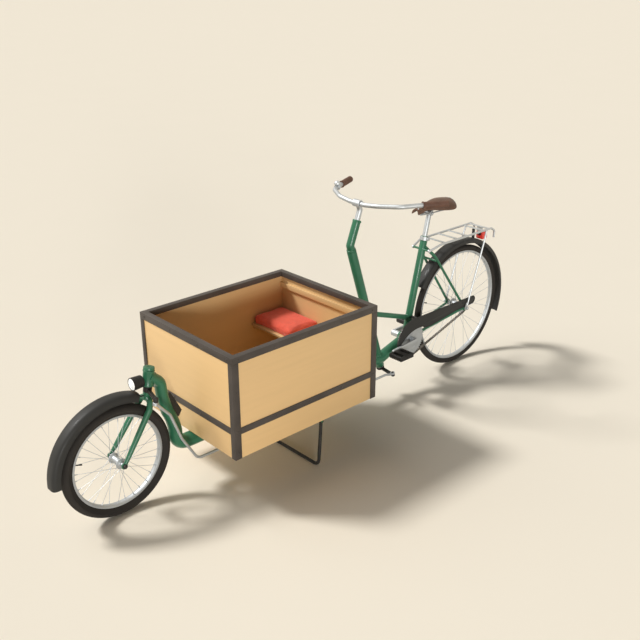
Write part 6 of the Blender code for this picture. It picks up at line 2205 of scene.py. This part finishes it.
@dataclass
class Lamps:
    """Headlamp and tail lamp."""

    height: float = 0.572
    radius: float = 0.028
    length: float = 0.054
    neck: float = 0.009
    tail_top: float = TAIL_LAMP_TOP
    tail_x: float = TAIL_SLAT_X

    def head(self) -> None:
        """The headlamp: a finned body, a bright rim and a ribbed lens."""
        lean = self.neck * abs(tan(LAYOUT.head_tilt))
        base = LAYOUT.head(self.height) + FORWARD * (0.024 / cos(LAYOUT.head_tilt) + lean + HAIR)
        r, long = self.radius, self.length
        profile = [(0, 0), (self.neck, 0), (self.neck, 0.0025), (r * 0.76, 0.0038), (r * 0.86, 0.0050),
                   (r * 0.92, 0.0075), (r * 0.93, 0.012), (r * 0.91, 0.0135), (r * 0.94, 0.016),
                   (r * 0.94, 0.021), (r * 0.92, 0.0225), (r * 0.955, 0.025), (r * 0.985, 0.034),
                   (r * 0.99, long - 0.010), (r, long - 0.009), (r, long - 0.001), (r - 0.0008, long),
                   (r - 0.0020, long), (r - 0.0026, long - 0.005), (0, long - 0.0052)]
        shell = lathe("headlamp_shell", profile, base, FORWARD, 44)
        dress(shell, FINISH.plastic, "bike_frame", "black_plastic", "headlamp_body")
        glass = r - 0.0033
        rings = [(0, long - 0.0047), (glass, long - 0.0047), (glass, long - 0.0010)]
        for i in range(6):
            share = 0.92 - 0.15 * i
            rings += [(glass * share, long + 0.0002 + 0.0004 * i),
                      (glass * (share - 0.05), long - 0.0003 + 0.0004 * i)]
        rings.append((0, long + 0.0022))
        dress(lathe("headlamp_glass", rings, base, FORWARD, 44), FINISH.white, "bike_frame", "white_lens",
              "headlamp_lens")

    def tail(self) -> None:
        """The red tail lamp with its dark back plate."""
        low = at(self.tail_x - 0.048, -0.025, self.tail_top - 0.046)
        high = at(self.tail_x - 0.004, 0.025, self.tail_top)
        dress(block("tail_lens", low, high, 0.008, 5), FINISH.red, "bike_frame", "red_lens", "tail_lamp")
        back = block("tail_lamp_back", at(self.tail_x - 0.0045, -0.012, self.tail_top - 0.022),
                     at(self.tail_x + 0.001, 0.012, self.tail_top - 0.001), 0.0015)
        dress(back, FINISH.plastic, "bike_frame", "black_plastic")

    def build(self) -> None:
        """Make both lamps."""
        self.head()
        self.tail()


@dataclass
class Drive:
    """Chain, chain wheels, cranks, pedals and the chain guard, on the bike's left."""

    bottom: Vector
    seat_front: Vector
    guard_rest: Vector
    pitch: float = 0.0127
    links: int = 102
    ring_teeth: int = 48
    sprocket_teeth: int = 18
    line_y: float = 0.0435
    roller: float = 0.0038
    tooth_thickness: float = 0.0022
    crank_length: float = 0.170
    crank_inner: float = 0.0745
    crank_thickness: float = 0.012
    crank_tilt: float = radians(-3)
    pedal_length: float = 0.096
    pedal_width: float = 0.088
    pedal_height: float = 0.024
    guard_y: float = 0.0655

    def pitch_radius(self, teeth: int) -> float:
        """Radius of the circle that the chain's pins run on."""
        return self.pitch / (2 * sin(pi / teeth))

    def run(self) -> tuple[float, float, float, float]:
        """The chain's upper and lower tangent angles, and its pitches on a straight run and on the chainring.

        Returns:
            The two angles and the two counts of pitches.
        """
        ring, small = self.pitch_radius(self.ring_teeth), self.pitch_radius(self.sprocket_teeth)
        apart = self.bottom - REAR_AXLE
        lean = asin((ring - small) / apart.length)
        slope = atan2(apart.z, apart.x)
        return (slope + pi / 2 + lean, slope - pi / 2 - lean, apart.length * cos(lean) / self.pitch,
                self.ring_teeth * (pi + 2 * lean) / (2 * pi))

    def chain_point(self, pitches: float) -> Vector:
        """Place on the chain, in pitches from the sprocket's upper tangent.

        Args:
            pitches: How many pitches along the chain.

        Returns:
            The place.
        """
        ring, small = self.pitch_radius(self.ring_teeth), self.pitch_radius(self.sprocket_teeth)
        upper, lower, straight, on_ring = self.run()
        pitches %= self.links
        if pitches < straight:
            share = pitches / straight
            centre, radius, angle = REAR_AXLE.lerp(self.bottom, share), small + (ring - small) * share, upper
        elif pitches < straight + on_ring:
            centre, radius = self.bottom, ring
            angle = upper - (pitches - straight) * 2 * pi / self.ring_teeth
        elif pitches < 2 * straight + on_ring:
            share = (pitches - straight - on_ring) / straight
            centre, radius, angle = self.bottom.lerp(REAR_AXLE, share), ring + (small - ring) * share, lower
        else:
            centre, radius = REAR_AXLE, small
            angle = lower - (pitches - 2 * straight - on_ring) * 2 * pi / self.sprocket_teeth
        return centre + toward(angle) * radius + SIDE * self.line_y

    def link(self, name: str, near: float, height: float) -> bpy.types.Object:
        """One link along Z: two waisted side plates, a roller and its pin.

        Args:
            name: The piece's name.
            near: Where its plates start, from the chain's middle.
            height: Height of its plates.

        Returns:
            The link, with its first pin at the origin.
        """
        half = height / 2
        outline = []
        for start, centre in ((180, 0.0), (0, self.pitch)):
            for i in range(5):
                turn = radians(start + 45 * i)
                outline.append(Vector((half * cos(turn), near, centre + half * sin(turn))))
            outline.append(Vector((half * 0.72 * (1 if start == 180 else -1), near, self.pitch / 2)))
        left = plate(name, outline, SIDE * 0.001, 0.0)
        roller = bar("roller", SIDE * -0.0034, SIDE * 0.0034, self.roller, 10, 0.0002)
        pin = bar("pin", SIDE * -0.0060, SIDE * 0.0060, 0.0017, 8, 0.0002)
        return joined(name, [left, other_side(left), roller, pin])

    def chain(self) -> None:
        """The chain, link by link, round both wheels."""
        narrow = self.link("narrow", 0.0035, 0.0080)
        wide = self.link("wide", 0.0046, 0.0084)
        places: tuple[list[Matrix], list[Matrix]] = ([], [])
        for i in range(self.links):
            here, there = self.chain_point(i), self.chain_point(i + 1)
            along = (there - here).normalized()
            turn = Matrix((SIDE.cross(along), SIDE, along)).transposed().to_4x4()
            places[i % 2].append(Matrix.Translation(here) @ turn)
        links = placed(narrow, places[0]) + placed(wide, places[1])
        dress(joined("chain_links", links), FINISH.chain, "bike_frame", "black_steel", "chain")

    def toothed(self, centre: Vector, teeth: int, phase: float, y: float) -> list[Vector]:
        """Outline of a chain wheel whose valleys hold the rollers.

        Args:
            centre: The wheel's centre.
            teeth: How many teeth.
            phase: Angle of one valley.
            y: The plane that it lies in.

        Returns:
            The outline's points.
        """
        radius = self.pitch_radius(teeth)
        valley, tip = radius - self.roller - 0.0004, radius + 0.0033
        rise = [(-(pi / teeth - 0.0009 / tip), tip), (-0.0036 / valley, valley + 0.0012),
                (-0.0020 / valley, valley)]
        rows = rise + [(-turn, reach) for turn, reach in reversed(rise)]
        outline = []
        for tooth in range(teeth):
            for turn, reach in rows:
                angle = phase + 2 * pi * tooth / teeth + turn
                outline.append(Vector((centre.x + reach * cos(angle), y, centre.z + reach * sin(angle))))
        return outline

    def wheels(self) -> None:
        """The plain chainring with its bolts, and the sprocket on the hub."""
        upper, lower, straight, on_ring = self.run()
        half = self.tooth_thickness / 2
        phase = upper + straight * 2 * pi / self.ring_teeth
        disc = plate("disc", self.toothed(self.bottom, self.ring_teeth, phase, self.line_y - half),
                     SIDE * self.tooth_thickness, 0.0)
        r = self.pitch_radius(self.ring_teeth) - 0.010
        face = lathe("face", [(0.0183, half), (r, half), (r - 0.0006, half + 0.0007), (0.030, half + 0.0007),
                              (0.029, half + 0.0028), (0.0183, half + 0.0028)],
                     self.bottom + SIDE * self.line_y, SIDE, 64, closed=True)
        parts = [disc, face]
        for i in range(5):
            turn = 2 * pi * i / 5 + 0.4
            spot = self.bottom + Vector((0.062 * cos(turn), self.line_y + half + 0.0007, 0.062 * sin(turn)))
            parts.append(head_of_bolt(spot, SIDE, 0.0050, 0.0022))
        dress(joined("chainring_disc", parts), FINISH.silver, "crankset", "silver", "chainring")
        last = 2 * straight + on_ring
        phase = lower + last * 2 * pi / self.sprocket_teeth
        cog = plate("cog", self.toothed(REAR_AXLE, self.sprocket_teeth, phase, self.line_y - half),
                    SIDE * self.tooth_thickness, 0.0)
        boss = lathe("boss", [(0.0054, 0.0360), (0.0160, 0.0360), (0.0160, 0.0475), (0.0150, 0.0485),
                              (0.0054, 0.0485)], REAR_AXLE, SIDE, 32, closed=True)
        dress(joined("sprocket_cog", [cog, boss]), FINISH.silver, "rear_sprocket", "silver", "sprocket")

    def crank_outline(self, eye: Vector, y: float) -> list[Vector]:
        """Outline of a crank from the spindle to the pedal eye.

        Args:
            eye: Centre of the pedal eye.
            y: Where the outline lies across the bike.

        Returns:
            The outline's points.
        """
        way = eye - self.bottom
        heading = atan2(way.z, way.x)
        spread = asin((0.013 - 0.016) / way.length)
        left, right = heading + pi / 2 + spread, heading - pi / 2 - spread
        points = arc(self.bottom, 0.016, left, right + 2 * pi, 14) + arc(eye, 0.013, right, left, 14)
        return [Vector((p.x, y, p.z)) for p in points]

    def cranks(self) -> None:
        """Both cranks with bosses, dust caps and pedal axles, and both pedals."""
        forward = toward(self.crank_tilt)
        outer = self.crank_inner + self.crank_thickness
        for hand in Hand:
            side = hand.value
            out = SIDE * side
            name = hand.name.lower()
            eye = self.bottom + forward * self.crank_length * side
            outline = self.crank_outline(eye, side * self.crank_inner)
            arm = plate("arm", outline, out * self.crank_thickness, 0.0025, 3)
            boss_from = self.bottom + out * (self.line_y - self.tooth_thickness / 2 if side > 0 else 0.0355)
            boss = bar("boss", boss_from, self.bottom + out * (outer - 0.001), 0.018, 36, 0.001)
            profile = [(0.0115, 0), (0.0110, 0.0016), (0.0070, 0.0020), (0.0062, 0.0008), (0, 0.0008)]
            cap = lathe("dust_cap", profile, self.bottom + out * (outer - 0.0012), out, 28)
            inner = outer + 0.0015
            tip = eye + out * (inner + self.pedal_width - 0.004)
            axle = bar("pedal_axle", eye + out * (outer - 0.006), tip, 0.006, 20, 0.0005)
            parts = [arm, boss, cap, axle]
            if hand is Hand.RIGHT:
                far_end = self.bottom + SIDE * (outer - 0.002)
                parts.append(bar("spindle", self.bottom - SIDE * 0.05, far_end, 0.0085, 24))
            dress(joined(f"{name}_crank_arm", parts), FINISH.silver, "crankset", "silver", f"crank_{name}")
            self.pedal(name, eye, side, inner)

    def pedal(self, name: str, eye: Vector, side: int, inner: float) -> None:
        """A pedal: a cage with two windows, rows of studs and a barrel.

        Args:
            name: Left or right.
            eye: Centre of the crank's eye.
            side: 1 on the left, -1 on the right.
            inner: Where the pedal starts, from the bike's middle plane.
        """
        half, tall, outer = self.pedal_length / 2, self.pedal_height / 2, inner + self.pedal_width
        cage = block("cage", Vector((eye.x - half, side * inner, eye.z - tall)),
                     Vector((eye.x + half, side * outer, eye.z + tall)), 0.005, 3)
        cutters = []
        for sign in (1, -1):
            near, far = eye.x + sign * 0.014, eye.x + sign * (half - 0.011)
            cutters.append(block("window", Vector((near, side * (inner + 0.011), eye.z - 0.03)),
                                 Vector((far, side * (outer - 0.011), eye.z + 0.03)), 0.003))
        carved(cage, cutters)
        stud = block("stud", Vector((-0.0035, -0.0030, -0.0004)), Vector((0.0035, 0.0030, 0.0016)), 0.0006, 1)
        places = []
        for sign in (1, -1):
            for i in range(7):
                y = side * (inner + 0.010 + (self.pedal_width - 0.020) * i / 6)
                for level, flip in ((tall, 0), (-tall, pi)):
                    spot = Vector((eye.x + sign * (half - 0.0065), y, eye.z + level))
                    places.append(Matrix.Translation(spot) @ Matrix.Rotation(flip, 4, "X"))
        studs = placed(stud, places)
        cap = lathe("cap", [(0.0075, 0), (0.0070, 0.0018), (0.0040, 0.0026), (0, 0.0028)],
                    Vector((eye.x, side * (outer - 0.0005), eye.z)), SIDE * side, 20)
        pedal = joined(f"{name}_pedal_cage", [cage, cap] + studs)
        dress(pedal, FINISH.plastic, f"{name}_pedal", "black_plastic", f"pedal_{name}")

    def guard(self) -> None:
        """The chain guard: a sheet with a rolled rim and its two holders."""
        bottom = self.bottom
        outline = arc(bottom, GUARD_RADIUS, radians(-2), radians(90), 36)
        top = bottom.z + GUARD_RADIUS
        rear = at(-0.058, 0, top - 0.022)
        outline += arc(rear, 0.022, radians(90), radians(270), 18)
        outline += [at(0.084, 0, 0.355), at(0.293, 0, 0.326), at(0.345, 0, 0.330)]
        outline += arc(bottom + Vector((-0.0355, 0, -0.121)), 0.186, radians(100), radians(38.7), 24)
        low = [Vector((p.x, self.guard_y, p.z)) for p in outline]
        sheet = plate("sheet", low, SIDE * 0.002, 0.0006)
        middle = [p + SIDE * 0.0012 for p in low]
        rim = sweep("rim", middle + [middle[0]], [0.0020] * (len(middle) + 1), 10, closed=True)
        front = self.seat_front
        arm = bar("arm", front + SIDE * 0.0193, front + SIDE * (self.guard_y + 0.001), 0.0045, 20)
        rest = self.guard_rest
        pad = bar("pad", rest, Vector((rest.x, self.guard_y + 0.001, rest.z)), 0.005, 20)
        heads = [head_of_bolt(Vector((p.x, self.guard_y + 0.002, p.z)), SIDE, 0.0050, 0.0022)
                 for p in (front, rest)]
        guard = joined("guard_sheet", [sheet, rim, arm, pad] + heads)
        dress(guard, FINISH.dark_fender, "bike_frame", "fender_paint", "chain_guard")

    def build(self) -> None:
        """Make the drive."""
        self.chain()
        self.wheels()
        self.cranks()
        self.guard()


@dataclass
class Stand:
    """The U-shaped stand with its eyes."""

    pivot_x: float = STAND_X
    pivot_z: float = STAND_Z
    foot_x: float = 1.341
    leg_y: float = 0.306
    radius: float = 0.008
    eye_radius: float = 0.0115

    def build(self) -> None:
        """Make the stand."""
        pivot = at(self.pivot_x, self.leg_y, self.pivot_z)
        foot = at(self.foot_x, self.leg_y, self.radius)
        down = (foot - pivot).normalized()
        corners = [pivot + down * 0.007, foot, *mirrored([foot, pivot + down * 0.007])]
        parts = [pipe("loop", rounded(corners, 0.035, 12), self.radius, 24)]
        for hand in Hand:
            centre = Vector((pivot.x, hand.value * pivot.y, pivot.z))
            parts.append(collar("eye", centre, SIDE, 0.0053, self.eye_radius, 0.0065, 0.0008, 28))
        dress(joined("stand_loop", parts), FINISH.black, "stand", "black_steel", "kickstand")


@dataclass
class Studio:
    """Pale floor, soft light and the camera at the photograph's angle."""

    camera_place: tuple[float, float, float] = (2.6020, 2.8233, 2.1878)
    yaw: float = -2.316025
    pitch: float = 0.401840
    roll: float = -0.001473
    lens: float = 48.764
    sensor: float = 36.0
    floor_half: float = 90.0
    floor_colour: Colour = (242, 233, 216)
    lamp_colour: Colour = (255, 254, 252)
    key: float = 2.45
    halo: float = 1.00
    fill: float = 1.62
    sky: float = 0.12

    def camera(self) -> None:
        """The camera."""
        data = bpy.data.cameras.new("photo_camera")
        data.sensor_width = self.sensor
        data.lens = self.lens
        data.clip_end = 400
        eye = bpy.data.objects.new("photo_camera", data)
        bpy.context.scene.collection.objects.link(eye)
        level = cos(self.pitch)
        look = Vector((cos(self.yaw) * level, sin(self.yaw) * level, -sin(self.pitch)))
        turn = look.to_track_quat("-Z", "Y") @ Quaternion((0, 0, 1), self.roll)
        eye.location = self.camera_place
        eye.rotation_mode = "QUATERNION"
        eye.rotation_quaternion = turn
        bpy.context.scene.camera = eye

    def sun(self, name: str, way: Vector, strength: float, spread: float) -> None:
        """A soft distant lamp.

        Args:
            name: The lamp's name.
            way: Direction in which its light travels.
            strength: Its strength.
            spread: Its apparent size in degrees.
        """
        data = bpy.data.lights.new(name, "SUN")
        data.energy = strength
        data.angle = radians(spread)
        data.color = linear(self.lamp_colour)[:3]
        lamp = bpy.data.objects.new(name, data)
        bpy.context.scene.collection.objects.link(lamp)
        lamp.rotation_mode = "QUATERNION"
        lamp.rotation_quaternion = way.to_track_quat("-Z", "Y")

    def light(self) -> None:
        """A key from the front right with a wide halo, a low fill from the front left and an even sky."""
        from_right = Vector((-0.414, 0.516, -0.750))
        self.sun("key_light", from_right, self.key, 11)
        self.sun("key_halo", from_right, self.halo, 60)
        self.sun("fill_light", Vector((-0.48, -0.86, -0.09)), self.fill, 10)
        world = bpy.data.worlds.new("studio_world")
        bpy.context.scene.world = world
        world.use_nodes = True
        tree = world.node_tree
        sky = tree.nodes["Background"]
        sky.inputs["Color"].default_value = linear((255, 255, 254))
        sky.inputs["Strength"].default_value = self.sky
        seen = tree.nodes.new("ShaderNodeBackground")
        seen.inputs["Color"].default_value = linear(self.floor_colour)
        seen.inputs["Strength"].default_value = 1.0
        path = tree.nodes.new("ShaderNodeLightPath")
        either = tree.nodes.new("ShaderNodeMath")
        either.operation = "MAXIMUM"
        tree.links.new(path.outputs["Is Camera Ray"], either.inputs[0])
        tree.links.new(path.outputs["Is Glossy Ray"], either.inputs[1])
        mix = tree.nodes.new("ShaderNodeMixShader")
        tree.links.new(either.outputs[0], mix.inputs["Fac"])
        tree.links.new(sky.outputs["Background"], mix.inputs[1])
        tree.links.new(seen.outputs["Background"], mix.inputs[2])
        tree.links.new(mix.outputs["Shader"], tree.nodes["World Output"].inputs["Surface"])

    def floor(self) -> None:
        """The floor."""
        deselect()
        bpy.ops.mesh.primitive_grid_add(x_subdivisions=8, y_subdivisions=8, size=2 * self.floor_half,
                                        location=(0, 0, -0.0005))
        ground = close_up(open_new(), "studio_floor")
        recipe = Recipe("studio_floor_paint")
        darker, plain = linear(self.floor_colour, 0.995), linear(self.floor_colour)
        recipe.colour(recipe.blend(recipe.noise(1.5), darker, plain))
        recipe.fixed(Roughness=0.95, Specular_IOR_Level=0.0)
        ground.data.materials.append(recipe.material)

    def build(self) -> None:
        """Set the studio up."""
        self.camera()
        self.light()
        self.floor()
        bpy.context.scene.view_settings.view_transform = "Standard"


def main() -> None:
    """Build the bike's sub-assemblies one after another, then the studio."""
    logging.basicConfig(level=logging.INFO, format="%(message)s")
    bones = MainFrame()
    bones.build()
    Wheel("front", FRONT_AXLE, bead=0.203, tyre_width=0.050, rim_width=0.026, flange=0.024, flange_y=0.030,
          barrel=0.015, hub_end=0.0475, crossings=2).build()
    Wheel("rear", REAR_AXLE, bead=0.311, tyre_width=0.037, rim_width=0.022, flange=0.030, flange_y=0.026,
          barrel=0.020, hub_end=0.0355, crossings=3).build()
    Axles().build()
    fork = FrontFork()
    fork.build()
    SteeringLink(fork.front_eye()).build()
    Cockpit().build()
    fenders = Fenders()
    fenders.front()
    shoulder, end = bones.seat_stay()[1:]
    along = shoulder - end
    fenders.rear(Vector((along.x, 0, along.z)).normalized())
    CargoBox().build()
    BenchCushion().build()
    seat_top = at(*bones.seat_top)
    SeatAndPost(bones.seat_point(SEAT_POST_TOP), bones.seat_point(SEAT_POST_FOOT), seat_top,
                (seat_top - bones.bottom()).normalized()).build()
    Rack(bones.seat_point(RACK_LUG_HEIGHT) + FORWARD * 0.008).build()
    Lamps().build()
    share = (GUARD_REST_HEIGHT - end.z) / (shoulder.z - end.z)
    rest = end.lerp(shoulder, share) + SIDE * (bones.stay_radius - 0.0012)
    Drive(bones.bottom(), bones.seat_point(bones.bottom_z + GUARD_RADIUS - 0.0075), rest).build()
    Stand().build()
    Studio().build()


if __name__ == "__main__":
    main()
